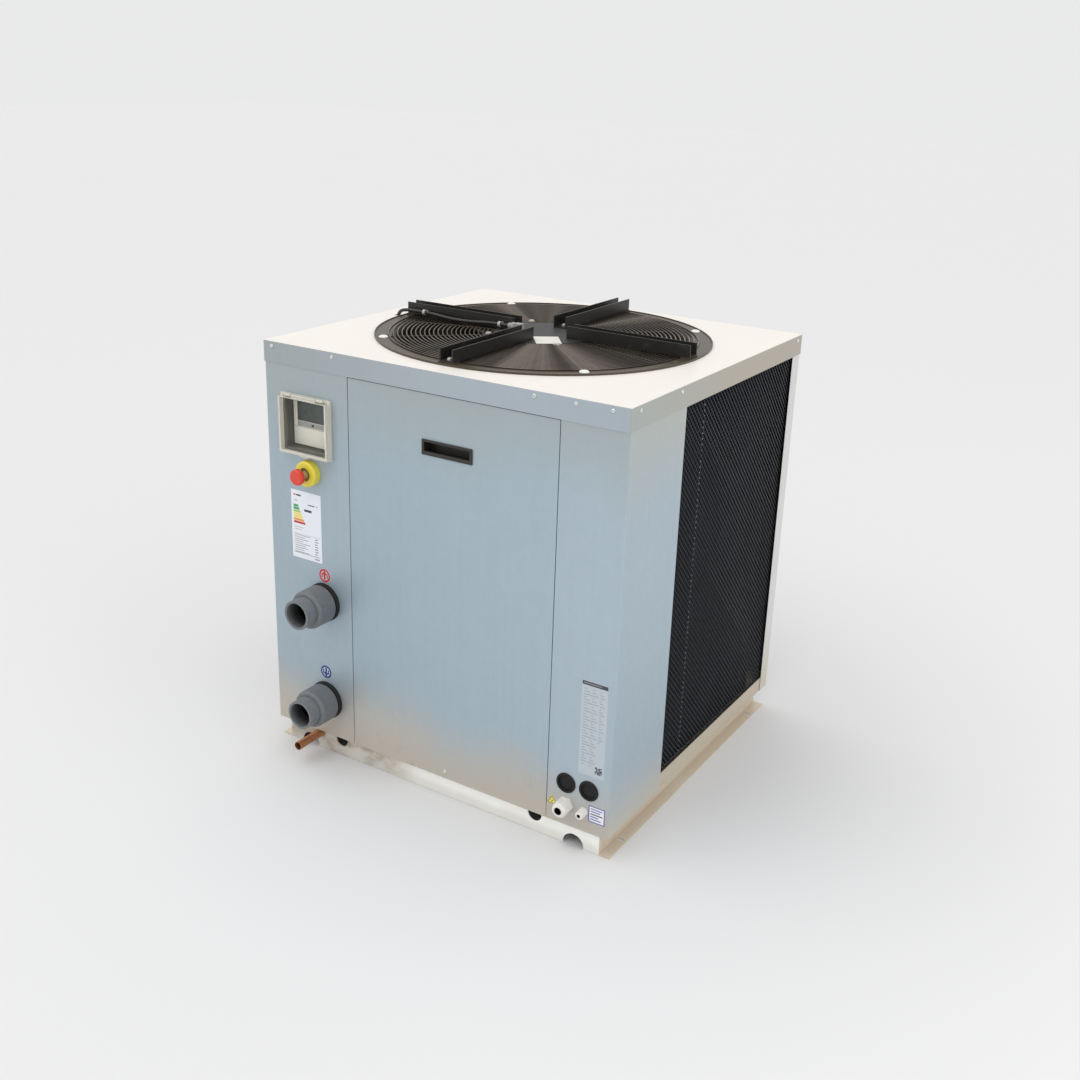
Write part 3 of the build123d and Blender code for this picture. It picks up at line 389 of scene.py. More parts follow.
@dataclass(frozen=True)
class DeckSheet(RolledSheet):
    """The cover's sheet: pale cream on top, partly its own tone and partly painted light from above; rolled
    sheet on its skirt, with painted light and shade on each face.
    """

    cream: Colour = (0.825, 0.795, 0.745)
    # The four skirt tones are painted light and shade on one sheet: each face lighter or darker by how light
    # falls on it.
    right: Colour = (0.394, 0.452, 0.500)
    left: Colour = (0.345, 0.388, 0.403)
    near: Colour = (0.397, 0.418, 0.393)
    far: Colour = (0.430, 0.395, 0.333)
    level: float = 1.0722

    def pattern(self, g: Graph) -> None:
        """Rolled skirt below the fold, toned with painted light and shade by the side it faces, and a cream
        deck, partly painted light from above, with faint dust.
        """
        x, y, z = g.axes()
        lines = g.noise((50.0, 50.0, 0.9), 3.0, 0.6)
        cloud = g.noise((2.6, 2.6, 2.6), 3.0, 0.55)
        # Painted light and shade: the front skirt darker towards the left, and the side faces toned from near
        # to far.
        face = g.mix(g.remap(x, -0.5, 0.15, 1.0, 0.0), self.right, self.left)
        side = g.mix(g.remap(y, -0.46, 0.1), self.near, self.far)
        skirt = g.mix(g.remap(abs(x), 0.497, 0.4995), face, side)
        skirt = g.mix(1.0, skirt, self.grey(g, 0.92 + lines * 0.08 + cloud * 0.07), "MULTIPLY")
        dust = g.remap(g.noise((22.0, 22.0, 22.0), 4.0, 0.65), 0.55, 0.8)
        # The cream deck is partly the sheet's own tone and partly painted light from above.
        deck = g.mix(1.0, self.cream, self.grey(g, 0.965 + cloud * 0.05 - dust * 0.03), "MULTIPLY")
        top = g.remap(z, self.level - 0.0006, self.level + 0.0004)
        tone = g.mix(top, skirt, deck)
        rough = 0.40 + lines * 0.06 + dust * 0.10
        relief = g.bump(cloud * 1.5 + lines * 0.4, 0.0002, 0.5)
        g.surface(Base_Color=tone, Roughness=rough, Metallic=0.3 - top * 0.25, Normal=relief)


@dataclass(frozen=True)
class RailSheet(RolledSheet):
    """Front and back base rails: pale, stained brown towards the left end, with painted grey shade along the
    lower edge.
    """

    stain: Colour = (0.42, 0.355, 0.275)
    # Colour of the painted shade along the lower edge.
    shade: Colour = (0.60, 0.61, 0.57)

    def extra(self, g: Graph, body: Out, place: tuple[Out, Out, Out], cloud: Out) -> Out:
        """Brown blotches that thin out to the right, and painted shade along the lower edge."""
        x, _, z = place
        left = g.remap(x + (cloud - 0.5) * 0.2, -0.21, -0.06, 1.0, 0.0)
        blotch = g.remap(g.noise((17.0, 17.0, 26.0), 3.0, 0.55, (2.0, 0.0, 0.6)), 0.38, 0.62)
        body = g.mix(left * (0.55 + blotch * 0.45), body, self.stain)
        # Painted shade along the lower edge.
        low = g.remap(z + (cloud - 0.5) * 0.03, 0.010, 0.034, 1.0, 0.0)
        return g.mix(low * 0.4, body, self.shade)


@dataclass(frozen=True)
class PostSheet(RolledSheet):
    """Rear corner posts: pale outside, with painted dark shade on the faces turned to the inside."""

    half_x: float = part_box("rear_posts")[1][0] - 0.0006
    half_y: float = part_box("rear_posts")[1][1] - 0.0006
    # Colour of the painted shade on the inner faces.
    inner: Colour = (0.018, 0.019, 0.020)

    def extra(self, g: Graph, body: Out, place: tuple[Out, Out, Out], cloud: Out) -> Out:
        """Paints dark shade on the inner faces."""
        x, y, _ = place
        inward = g.inside(x, 0.0, self.half_x, 0.0003) * g.inside(y, 0.0, self.half_y, 0.0003)
        # Painted shade on the faces turned to the inside.
        return g.mix(inward, body, self.inner)


@dataclass(frozen=True)
class PowderCoat(Finish):
    """Fine-textured powder coat with rubbed, lighter high spots."""

    tone: Colour = (0.020, 0.018, 0.016)
    rub: Colour = (0.09, 0.08, 0.07)
    gloss: float = 0.36
    grain: float = 900.0
    metallic: float = 0.0

    def pattern(self, g: Graph) -> None:
        """Orange peel, rubbed spots and dust."""
        peel = g.noise((self.grain, self.grain, self.grain), 2.0)
        rub = g.remap(g.noise((45.0, 45.0, 45.0), 4.0, 0.65), 0.56, 0.75)
        dust = g.noise((7.0, 7.0, 7.0), 3.0)
        tone = g.mix(rub * 0.5, self.tone, self.rub)
        tone = g.mix(dust * 0.18, tone, self.rub)
        rough = self.gloss + rub * 0.16 + dust * 0.10
        g.surface(Base_Color=tone, Roughness=rough, Metallic=self.metallic, Normal=g.bump(peel, 0.00008, 0.6))


@dataclass(frozen=True)
class GuardWire(Finish):
    """Dark enamelled guard wire with a painted sheen in light streaks that run out from the fan's middle."""

    tone: Colour = (0.052, 0.042, 0.034)
    # Colour of the painted sheen streaks.
    bright: Colour = (0.25, 0.215, 0.182)
    centre: tuple[float, float] = (-0.006, 0.010)
    streaks: float = 2.6
    turned_by: float = 3.4
    fine_streaks: float = 34.0

    def pattern(self, g: Graph) -> None:
        """Painted sheen that changes with the angle round the fan, with fine and broad streaks."""
        x, y, _ = g.axes()
        angle = x.sum("ARCTAN2", y - self.centre[1], x - self.centre[0])
        broad = g.streak(angle * self.streaks + self.turned_by, 1.0)
        fine = g.streak(angle * self.fine_streaks, 3.0)
        # Painted sheen: light radial streaks that stand in for the highlight running along the concentric
        # wires.
        painted_sheen = g.remap(broad, 0.42, 0.68) * (0.55 + fine * 0.7)
        grain = g.noise((500.0, 500.0, 500.0), 2.0)
        tone = g.mix(painted_sheen * 0.75, self.tone, self.bright)
        g.surface(Base_Color=tone, Roughness=0.26 + grain * 0.12, Metallic=0.6,
                  Normal=g.bump(grain, 0.00006, 0.5))


@dataclass(frozen=True)
class Moulded(Finish):
    """Moulded plastic or rubber with a fine spark-eroded grain."""

    tone: Colour = (0.5, 0.5, 0.5)
    gloss: float = 0.42
    grain: float = 1400.0
    scuff: Colour = (0.6, 0.6, 0.6)
    depth: float = 0.00006
    coat: float = 0.0

    def pattern(self, g: Graph) -> None:
        """Grain, drifted colour and scuffs."""
        grain = g.noise((self.grain, self.grain, self.grain), 2.0)
        drift = g.noise((16.0, 16.0, 16.0), 3.0)
        scuff = g.remap(g.noise((120.0, 120.0, 35.0), 4.0, 0.7), 0.60, 0.78)
        tone = g.mix(scuff * 0.35, self.tone, self.scuff)
        tone = g.mix(drift * 0.14, tone, tuple(0.72 * c for c in self.tone))
        rough = self.gloss + grain * 0.08 + scuff * 0.14
        g.surface(Base_Color=tone, Roughness=rough, Coat_Weight=self.coat,
                  Normal=g.bump(grain, self.depth, 0.6))


@dataclass(frozen=True)
class Bored(Moulded):
    """Moulded plastic with painted shade down the bores of its fittings, which point out of the front."""

    # Colour of the painted shade in the bores.
    dark: Colour = (0.010, 0.010, 0.010)
    bores: tuple[Point, ...] = ()
    mouth: float = -1.0
    depth_in: float = 0.004

    def pattern(self, g: Graph) -> None:
        """Grain, mottled colour, scuffs and the shade of each bore, given by its x, z and radius."""
        x, y, z = g.axes()
        grain = g.noise((self.grain, self.grain, self.grain), 2.0)
        mottle = g.remap(g.noise((85.0, 85.0, 85.0), 4.0, 0.65), 0.36, 0.70)
        scuff = g.remap(g.noise((150.0, 150.0, 60.0), 4.0, 0.7), 0.58, 0.78)
        tone = g.mix(mottle * 0.38, self.tone, tuple(0.70 * c for c in self.tone))
        tone = g.mix(scuff * 0.45, tone, self.scuff)
        inward = g.remap(y, self.mouth, self.mouth + self.depth_in)
        for middle_x, middle_z, radius in self.bores:
            across, up = x - middle_x, z - middle_z
            square = radius * radius
            # Painted shade down each bore.
            bore_shade = g.remap(across * across + up * up, square * 0.96, square * 1.04, 1.0, 0.0)
            tone = g.mix(bore_shade * inward, tone, self.dark)
        rough = self.gloss + grain * 0.08 + scuff * 0.14
        g.surface(Base_Color=tone, Roughness=rough, Normal=g.bump(grain + mottle * 0.5, self.depth, 0.6))


def nut_bores(radius: float) -> tuple[Point, ...]:
    """Centre lines of the two unions, taken from their nuts.

    Args:
        radius: Radius of the bores.

    Returns:
        The x, z and radius of each bore.
    """
    boxes = (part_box("outlet_union_nut"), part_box("inlet_union_nut"))
    return tuple(((low[0] + high[0]) / 2, (low[2] + high[2]) / 2, radius) for low, high in boxes)


@dataclass(frozen=True)
class Plated(Finish):
    """Plated or bare metal with short scratches and a little tarnish."""

    tone: Colour = (0.62, 0.61, 0.58)
    tarnish: Colour = (0.30, 0.28, 0.25)
    gloss: float = 0.30
    amount: float = 0.4
    metallic: float = 0.9

    def pattern(self, g: Graph) -> None:
        """Scratches, blotches and a rougher tarnish."""
        scratch = g.noise((500.0, 90.0, 260.0), 3.0, 0.7)
        blotch = g.remap(g.noise((60.0, 60.0, 60.0), 4.0, 0.6), 0.40, 0.72)
        tone = g.mix(blotch * self.amount, self.tone, self.tarnish)
        rough = self.gloss + scratch * 0.12 + blotch * 0.18
        relief = g.bump(scratch, 0.00005, 0.6)
        g.surface(Base_Color=tone, Roughness=rough, Metallic=self.metallic - blotch * 0.2, Normal=relief)


@dataclass(frozen=True)
class Surround(Moulded):
    """Translucent window surround: pale along its outer edge, olive where it turns in to the recess."""

    pale_w: float = 0.0695
    pale_h: float = 0.0675
    olive: Colour = (0.052, 0.053, 0.037)

    def pattern(self, g: Graph) -> None:
        """Fine grain over a pale edge and an olive inner lip."""
        x, _, z = g.axes()
        grain = g.noise((self.grain, self.grain, self.grain), 2.0)
        drift = g.noise((26.0, 26.0, 26.0), 3.0)
        lip = g.inside(x, WINDOW_X, self.pale_w, 0.0012) * g.inside(z, WINDOW_Z, self.pale_h, 0.0012)
        tone = g.mix(drift * 0.3, self.tone, self.scuff)
        tone = g.mix(lip * 0.9, tone, self.olive)
        g.surface(Base_Color=tone, Roughness=self.gloss + grain * 0.1, Normal=g.bump(grain, self.depth, 0.6))


@dataclass(frozen=True)
class Clear(Finish):
    """Clear moulded cover: thin bright edges, a translucent rim and a clear pane."""

    half_w: float = 0.0700
    half_h: float = 0.0655
    edge: float = 0.0018
    milk: Colour = (0.76, 0.735, 0.65)

    def pattern(self, g: Graph) -> None:
        """Clear pane, a bright line round it, a half-clear rim and a bright outer edge."""
        x, _, z = g.axes()
        half_w, half_h, edge = self.half_w, self.half_h, self.edge
        pane = g.inside(x, WINDOW_X, half_w, 0.0006) * g.inside(z, WINDOW_Z, half_h, 0.0006)
        step = g.inside(x, WINDOW_X, half_w + edge, 0.0006) * g.inside(z, WINDOW_Z, half_h + edge, 0.0006)
        haze = g.noise((30.0, 30.0, 30.0), 3.0)
        alpha = 0.58 + (step - pane) * 0.24 - step * 0.02 - pane * 0.545 + haze * 0.02
        g.surface(
            Base_Color=self.milk,
            Alpha=alpha,
            Roughness=0.10 + haze * 0.10,
            Normal=g.bump(haze, 0.0002, 0.4),
            Coat_Weight=0.3,
            Coat_Roughness=0.05,
        )


@dataclass(frozen=True)
class Display(Finish):
    """Dark passive display behind its lens, with faint cell blocks."""

    tone: Colour = (0.010, 0.024, 0.022)
    cell: Colour = (0.036, 0.062, 0.056)
    area_z: float = 0.907
    area_w: float = 0.040
    area_h: float = 0.017

    def pattern(self, g: Graph) -> None:
        """Blocks a shade lighter than the glass."""
        x, _, z = g.axes()
        blocks = g.cells((95.0, 1.0, 130.0), output=1)
        lit = g.remap(g.node("ShaderNodeSeparateColor", inputs={0: blocks}), 0.52, 0.60)
        area = g.inside(x, WINDOW_X, self.area_w, 0.002) * g.inside(z, self.area_z, self.area_h, 0.002)
        tone = g.mix(lit * area * 0.55, self.tone, self.cell)
        dirt = g.noise((60.0, 60.0, 60.0), 3.0)
        g.surface(Base_Color=tone, Roughness=0.34 + dirt * 0.16, Coat_Weight=0.15, Coat_Roughness=0.1)


@dataclass(frozen=True)
class ControllerShell(Finish):
    """Cream controller case with a grey key strip and the joint of its lower flap."""

    tone: Colour = (0.80, 0.775, 0.68)
    strip: Colour = (0.30, 0.31, 0.30)
    strip_z: float = 0.8755
    strip_w: float = 0.0485
    strip_h: float = 0.0066
    joint_z: float = 0.8672

    def pattern(self, g: Graph) -> None:
        """A grey band under the display, a thin joint under it and a fine grain."""
        x, _, z = g.axes()
        grain = g.noise((1500.0, 1500.0, 1500.0), 2.0)
        band = g.inside(z, self.strip_z, self.strip_h) * g.inside(x, WINDOW_X, self.strip_w)
        joint = g.inside(z, self.joint_z, 0.0006, 0.0003)
        tone = g.mix(band, self.tone, self.strip)
        tone = g.mix(joint * 0.8, tone, (0.10, 0.10, 0.09))
        age = g.noise((20.0, 20.0, 20.0), 3.0)
        tone = g.mix(age * 0.15, tone, (0.60, 0.56, 0.44))
        g.surface(Base_Color=tone, Roughness=0.42 + grain * 0.08,
                  Normal=g.bump(grain - joint * 3, 0.00007, 0.6))


@dataclass(frozen=True)
class PrintedPlate(Finish):
    """Self-adhesive film with a paper or foil face."""

    tone: Colour = (0.86, 0.88, 0.90)
    gloss: float = 0.34
    metallic: float = 0.0

    def pattern(self, g: Graph) -> None:
        """Faint mottling and small bubbles under the film."""
        mottle = g.noise((90.0, 90.0, 90.0), 3.0)
        bubble = g.remap(g.cells((120.0, 120.0, 120.0)), 0.05, 0.22, 1.0, 0.0)
        tone = g.mix(mottle * 0.12, self.tone, tuple(0.80 * c for c in self.tone))
        relief = g.bump(bubble + mottle * 0.5, 0.00006, 0.4)
        g.surface(Base_Color=tone, Roughness=self.gloss + mottle * 0.12, Metallic=self.metallic,
                  Normal=relief)


@dataclass(frozen=True)
class Ink(Finish):
    """Printed ink with a slightly uneven lay."""

    tone: Colour = (0.1, 0.1, 0.1)

    def pattern(self, g: Graph) -> None:
        """A solid print, thinner in places."""
        lay = g.noise((400.0, 400.0, 400.0), 3.0)
        tone = g.mix(lay * 0.22, self.tone, tuple(min(1.0, 1.35 * c + 0.05) for c in self.tone))
        g.surface(Base_Color=tone, Roughness=0.38 + lay * 0.15)


@dataclass(frozen=True)
class FinStack(Finish):
    """Epoxy-coated fin edges, near black with a blue cast."""

    tone: Colour = (0.0165, 0.020, 0.026)
    edge: Colour = (0.032, 0.048, 0.082)

    def pattern(self, g: Graph) -> None:
        """Blue cast in clouds, and dust."""
        cloud = g.remap(g.noise((5.0, 5.0, 4.0), 4.0, 0.6), 0.42, 0.70)
        dust = g.remap(g.noise((80.0, 80.0, 24.0), 4.0, 0.65), 0.50, 0.80)
        tone = g.mix(cloud * 0.6, self.tone, self.edge)
        tone = g.mix(dust * 0.25, tone, (0.06, 0.055, 0.05))
        g.surface(Base_Color=tone, Roughness=0.34 + dust * 0.2, Metallic=0.3,
                  Normal=g.bump(dust, 0.0002, 0.4))


class Kit:
    """Every finish of the unit, by the part it belongs to."""

    PANEL = RolledSheet("panel_sheet")
    DOOR = RolledSheet("door_sheet", tone=(0.372, 0.465, 0.530), foot_top=0.29)
    WRAP = PostSheet("post_sheet", tone=(0.68, 0.68, 0.67), warm=(0.66, 0.62, 0.56), foot_top=0.30,
                     head=NEVER, drift=0.0)
    INNER = RolledSheet("inner_sheet", tone=(0.66, 0.665, 0.66), warm=(0.62, 0.60, 0.55), head=NEVER,
                        drift=0.0)
    COVER = DeckSheet("cover_sheet")
    BASE = RolledSheet("base_sheet", tone=(0.70, 0.64, 0.54), warm=(0.68, 0.595, 0.475),
                       side_warm=(0.68, 0.595, 0.475), foot=0.0, foot_top=0.09,
                       side_drop=0.0, head=NEVER, drift=0.0, lean=(60.0, 0.9, 60.0), metallic=0.30,
                       gloss=0.45)
    RAIL = RailSheet("rail_sheet", tone=(0.99, 0.99, 0.95), warm=(0.84, 0.80, 0.71),
                     side_warm=(0.84, 0.80, 0.71), foot=-0.05, foot_top=0.05,
                     side_drop=0.0, head=NEVER, drift=0.0, lean=(0.9, 60.0, 60.0), metallic=0.15, gloss=0.45)
    TRAY = RolledSheet("tray_sheet", tone=(0.56, 0.495, 0.395), warm=(0.54, 0.455, 0.345),
                       side_warm=(0.54, 0.455, 0.345), foot=0.0, foot_top=0.10,
                       side_drop=0.0, head=NEVER, drift=0.0, metallic=0.35, gloss=0.45)
    SCREW = Plated("zinc_screw", tone=(0.72, 0.72, 0.70), amount=0.25)
    BOLT = Plated("zinc_bolt", tone=(0.66, 0.64, 0.58), amount=0.5)
    CAP = Moulded("white_cap", tone=(0.82, 0.81, 0.77), scuff=(0.70, 0.67, 0.60))
    WIRE = GuardWire("guard_black")
    RING = PowderCoat("ring_black", tone=(0.066, 0.050, 0.031), rub=(0.13, 0.105, 0.075), gloss=0.34,
                      metallic=0.2)
    ARM = PowderCoat("arm_black", tone=(0.007, 0.006, 0.005), rub=(0.045, 0.040, 0.035), gloss=0.38)
    BLADE = PowderCoat("blade_black", tone=(0.085, 0.078, 0.065), rub=(0.16, 0.145, 0.12), gloss=0.42)
    MOTOR = PowderCoat("motor_black", tone=(0.018, 0.018, 0.018), rub=(0.06, 0.058, 0.055), gloss=0.48,
                       grain=400.0)
    CABLE = Moulded("cable_black", tone=(0.020, 0.019, 0.018), scuff=(0.07, 0.065, 0.06), gloss=0.38)
    RUBBER = Moulded("rubber_black", tone=(0.006, 0.006, 0.006), scuff=(0.022, 0.022, 0.022), gloss=0.74,
                     grain=700.0)
    GLAND = Moulded("gland_grey", tone=(0.33, 0.33, 0.32), scuff=(0.45, 0.44, 0.42))
    WHITE_GLAND = Bored("gland_white", tone=(0.80, 0.775, 0.74), scuff=(0.66, 0.61, 0.54), gloss=0.40,
                        bores=((0.386, 0.111, 0.0094), (0.435, 0.111, 0.0044)))
    CLIP = Moulded("clip_pale", tone=(0.50, 0.49, 0.45), scuff=(0.35, 0.34, 0.32))
    PVC = Bored("union_grey", tone=(0.172, 0.185, 0.198), scuff=(0.29, 0.29, 0.28), gloss=0.46, grain=900.0,
                depth=0.00012, bores=nut_bores(0.0318), mouth=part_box("union_tails")[0][1], depth_in=0.035)
    PVC_NUT = Bored("nut_grey", tone=(0.156, 0.167, 0.178), scuff=(0.28, 0.275, 0.26), gloss=0.48,
                    grain=800.0, depth=0.00012)
    SURROUND = Surround("window_surround", tone=(0.64, 0.62, 0.545), scuff=(0.50, 0.48, 0.41), gloss=0.30)
    PANE = Clear("window_clear")
    RECESS = PowderCoat("recess_grey", tone=(0.055, 0.056, 0.042), rub=(0.12, 0.12, 0.09), gloss=0.50)
    CASE = ControllerShell("controller_cream")
    SCREEN = Display("display_dark")
    KEY = Moulded("key_dark", tone=(0.030, 0.032, 0.034), scuff=(0.10, 0.10, 0.10))
    YELLOW = Moulded("collar_yellow", tone=(0.78, 0.66, 0.055), scuff=(0.62, 0.50, 0.05), gloss=0.34,
                     coat=0.3)
    RED = Moulded("stop_red", tone=(0.70, 0.040, 0.014), scuff=(0.56, 0.07, 0.04), gloss=0.30, coat=0.4)
    STEM = Moulded("stop_stem", tone=(0.46, 0.38, 0.16), scuff=(0.34, 0.29, 0.15))
    STOP_BLOCK = Moulded("stop_block", tone=(0.26, 0.22, 0.075), scuff=(0.20, 0.17, 0.08))
    CUP = Moulded("cup_black", tone=(0.022, 0.019, 0.017), scuff=(0.085, 0.07, 0.055), gloss=0.40)
    COPPER = Plated("copper_tube", tone=(0.60, 0.27, 0.13), tarnish=(0.24, 0.115, 0.06), gloss=0.34,
                    amount=0.75)
    BRASS = Plated("brass_body", tone=(0.58, 0.43, 0.20), tarnish=(0.30, 0.21, 0.10), gloss=0.36, amount=0.5)
    VESSEL = PowderCoat("vessel_black", tone=(0.020, 0.020, 0.021), rub=(0.06, 0.06, 0.06), gloss=0.40,
                        grain=300.0)
    EXCHANGER = Moulded("exchanger_grey", tone=(0.11, 0.12, 0.13), scuff=(0.20, 0.20, 0.20), gloss=0.55)
    ELECTRIC = RolledSheet("box_sheet", tone=(0.62, 0.63, 0.62), foot=-1.0, foot_top=-0.5, head=NEVER)
    CONTACTOR = Moulded("contactor_grey", tone=(0.35, 0.36, 0.36), scuff=(0.5, 0.5, 0.5))
    FINS = FinStack("fin_black")
    MESH = PowderCoat("mesh_black", tone=(0.019, 0.022, 0.026), rub=(0.050, 0.062, 0.082), gloss=0.44)
    TIE = Plated("tie_wire", tone=(0.33, 0.345, 0.36), tarnish=(0.16, 0.17, 0.18), amount=0.5, gloss=0.45)
    PAPER = PrintedPlate("label_white", tone=(0.80, 0.83, 0.88))
    FOIL = PrintedPlate("plate_foil", tone=(0.52, 0.585, 0.625), gloss=0.30, metallic=0.35)
    PALE = PrintedPlate("motor_plate", tone=(0.76, 0.745, 0.68), gloss=0.40, metallic=0.2)
    NOTICE = PrintedPlate("notice_yellow", tone=(0.78, 0.70, 0.06))
    INK_DARK = Ink("ink_dark", tone=(0.045, 0.05, 0.065))
    INK_GREY = Ink("ink_grey", tone=(0.33, 0.35, 0.38))
    INK_FAINT = Ink("ink_faint", tone=(0.335, 0.365, 0.435))
    INK_BLOCK = Ink("ink_block", tone=(0.085, 0.09, 0.115))
    INK_GREEN = Ink("ink_green", tone=(0.03, 0.33, 0.10))
    INK_LIME = Ink("ink_lime", tone=(0.33, 0.55, 0.08))
    INK_YELLOW = Ink("ink_yellow", tone=(0.80, 0.66, 0.10))
    INK_ORANGE = Ink("ink_orange", tone=(0.76, 0.30, 0.05))
    INK_RED = Ink("ink_red", tone=(0.50, 0.020, 0.028))
    INK_BLUE = Ink("ink_blue", tone=(0.010, 0.035, 0.20))
    INK_PURPLE = Ink("ink_purple", tone=(0.15, 0.13, 0.42))
    INK_PALE = Ink("ink_pale", tone=(0.44, 0.50, 0.55))
    INK_WHITE = Ink("ink_white", tone=(0.78, 0.80, 0.84))


def dress(node: str, finish: Finish) -> None:
    """Gives every slot of a CAD node one finish.

    Args:
        node: Name of the CAD node.
        finish: The finish it wears.
    """
    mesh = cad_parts[node].data
    if not mesh.materials:
        mesh.materials.append(finish.material())
    for i in range(len(mesh.materials)):
        mesh.materials[i] = finish.material()


# ---------------------------------------------------------------- bench
class Bench:
    """Mesh work by operators: a primitive is placed, shaped in edit mode and finished."""

    @staticmethod
    def clear() -> None:
        """Leaves edit mode and deselects everything."""
        if bpy.context.object and bpy.context.object.mode != "OBJECT":
            bpy.ops.object.mode_set(mode="OBJECT")
        bpy.ops.object.select_all(action="DESELECT")

    @staticmethod
    def taken(name: str) -> Mesh:
        """Names the new active object and applies its place to its mesh.

        Args:
            name: Piece name.

        Returns:
            The mesh object.
        """
        made = bpy.context.object
        made.name = name
        made.data.name = name
        bpy.ops.object.transform_apply(location=True, rotation=True, scale=True)
        return made

    @staticmethod
    def modify(piece: Mesh, kind: str, **settings: object) -> None:
        """Adds one modifier and applies it.

        Args:
            piece: Mesh object.
            kind: Modifier type.
            settings: Its attributes.
        """
        Bench.only(piece)
        made = piece.modifiers.new(kind.lower(), kind)
        for key, value in settings.items():
            setattr(made, key, value)
        bpy.ops.object.modifier_apply(modifier=made.name)

    @staticmethod
    def only(piece: Mesh) -> None:
        """Makes a piece the one selected and active object.

        Args:
            piece: Mesh object.
        """
        Bench.clear()
        piece.select_set(True)
        bpy.context.view_layer.objects.active = piece

    @staticmethod
    def block(name: str, low: Point, high: Point, round_by: float = 0.0) -> Mesh:
        """Block between two corners with rounded edges.

        Args:
            name: Piece name.
            low: Lowest corner in metres.
            high: Highest corner in metres.
            round_by: Radius of the edges.

        Returns:
            The mesh object.
        """
        Bench.clear()
        middle = [(a + b) / 2 for a, b in zip(low, high)]
        size = [b - a for a, b in zip(low, high)]
        bpy.ops.mesh.primitive_cube_add(size=1.0, location=middle, scale=size)
        made = Bench.taken(name)
        if round_by:
            Bench.modify(made, "BEVEL", width=round_by, segments=2, limit_method="NONE")
        return made

    @staticmethod
    def turned(name: str, base: Point, axis: Axis, profile: Sequence[tuple[float, float]], sides: int = 32,
               closed: bool = True) -> Mesh:
        """Turned piece: a circle drawn out along its axis through steps of distance and radius.

        Args:
            name: Piece name.
            base: Where distance 0 lies.
            axis: Direction of the distances.
            profile: Pairs of distance and radius.
            sides: Facets round the axis.
            closed: Whether both ends get a face.

        Returns:
            The mesh object.
        """
        Bench.clear()
        start, radius = profile[0]
        bpy.ops.mesh.primitive_circle_add(vertices=sides, radius=radius,
                                          fill_type="NGON" if closed else "NOTHING")
        made = bpy.context.object
        bpy.ops.object.mode_set(mode="EDIT")
        bpy.ops.mesh.select_mode(type="VERT")
        bpy.ops.mesh.select_all(action="SELECT")
        bpy.ops.transform.translate(value=(0, 0, start))
        for (a, r0), (b, r1) in zip(profile, profile[1:]):
            bpy.ops.mesh.extrude_region_move(TRANSFORM_OT_translate={"value": (0, 0, b - a)})
            ratio = r1 / r0
            bpy.ops.transform.resize(value=(ratio, ratio, 1.0), center_override=(0, 0, b))
        bpy.ops.mesh.select_all(action="SELECT")
        bpy.ops.mesh.remove_doubles(threshold=1e-6)
        bpy.ops.mesh.normals_make_consistent(inside=False)
        bpy.ops.object.mode_set(mode="OBJECT")
        turn = Vector((0, 0, 1)).rotation_difference(Vector(axis.value))
        made.rotation_euler = turn.to_euler()
        made.location = base
        piece = Bench.taken(name)
        bpy.ops.object.shade_smooth_by_angle(angle=math.radians(35))
        return piece

    @staticmethod
    def copies(piece: Mesh, name: str, moves: Iterable[Matrix]) -> Mesh:
        """Joins one copy of a piece at each move into one object and drops the original.

        Args:
            piece: What is repeated.
            name: Name of the joined piece.
            moves: World matrices of the copies.

        Returns:
            The joined object.
        """
        Bench.clear()
        made = []
        for move in moves:
            copy = piece.copy()
            copy.data = piece.data.copy()
            copy.data.transform(move)
            bpy.context.collection.objects.link(copy)
            made.append(copy)
        bpy.data.objects.remove(piece)
        return Bench.join(name, made)

    @staticmethod
    def join(name: str, pieces: Sequence[Mesh]) -> Mesh:
        """Joins pieces into one object, keeping their materials.

        Args:
            name: Name of the joined piece.
            pieces: What is joined.

        Returns:
            The joined object.
        """
        Bench.clear()
        for piece in pieces:
            piece.select_set(True)
        bpy.context.view_layer.objects.active = pieces[0]
        if len(pieces) > 1:
            bpy.ops.object.join()
        made = bpy.context.object
        made.name = name
        made.data.name = name
        return made

    @staticmethod
    def trim(piece: Mesh, planes: Sequence[tuple[Point, Point]], fill: bool = True) -> None:
        """Cuts away what lies outside planes.

        Args:
            piece: Mesh object.
            planes: Pairs of a point and the outward normal of a plane.
            fill: Whether the cuts are closed; a sheet without thickness stays open.
        """
        Bench.only(piece)
        bpy.ops.object.mode_set(mode="EDIT")
        for point, normal in planes:
            bpy.ops.mesh.select_all(action="SELECT")
            bpy.ops.mesh.bisect(plane_co=point, plane_no=normal, use_fill=fill, clear_outer=True)
        bpy.ops.object.mode_set(mode="OBJECT")

    @staticmethod
    def sink(piece: Mesh, pick: Callable[[bpy.types.MeshPolygon], bool], inset: float, depth: float) -> None:
        """Insets the picked faces and pushes them in.

        Args:
            piece: Mesh object.
            pick: Test for a face.
            inset: Width of the rim that stays.
            depth: How far the inset face goes in.
        """
        Bench.only(piece)
        bpy.ops.object.mode_set(mode="EDIT")
        bpy.ops.mesh.select_mode(type="FACE")
        bpy.ops.mesh.select_all(action="DESELECT")
        bpy.ops.object.mode_set(mode="OBJECT")
        for face in piece.data.polygons:
            face.select = pick(face)
        bpy.ops.object.mode_set(mode="EDIT")
        bpy.ops.mesh.inset(thickness=inset, depth=0.0)
        bpy.ops.mesh.inset(thickness=inset * 0.1, depth=-depth)
        bpy.ops.object.mode_set(mode="OBJECT")

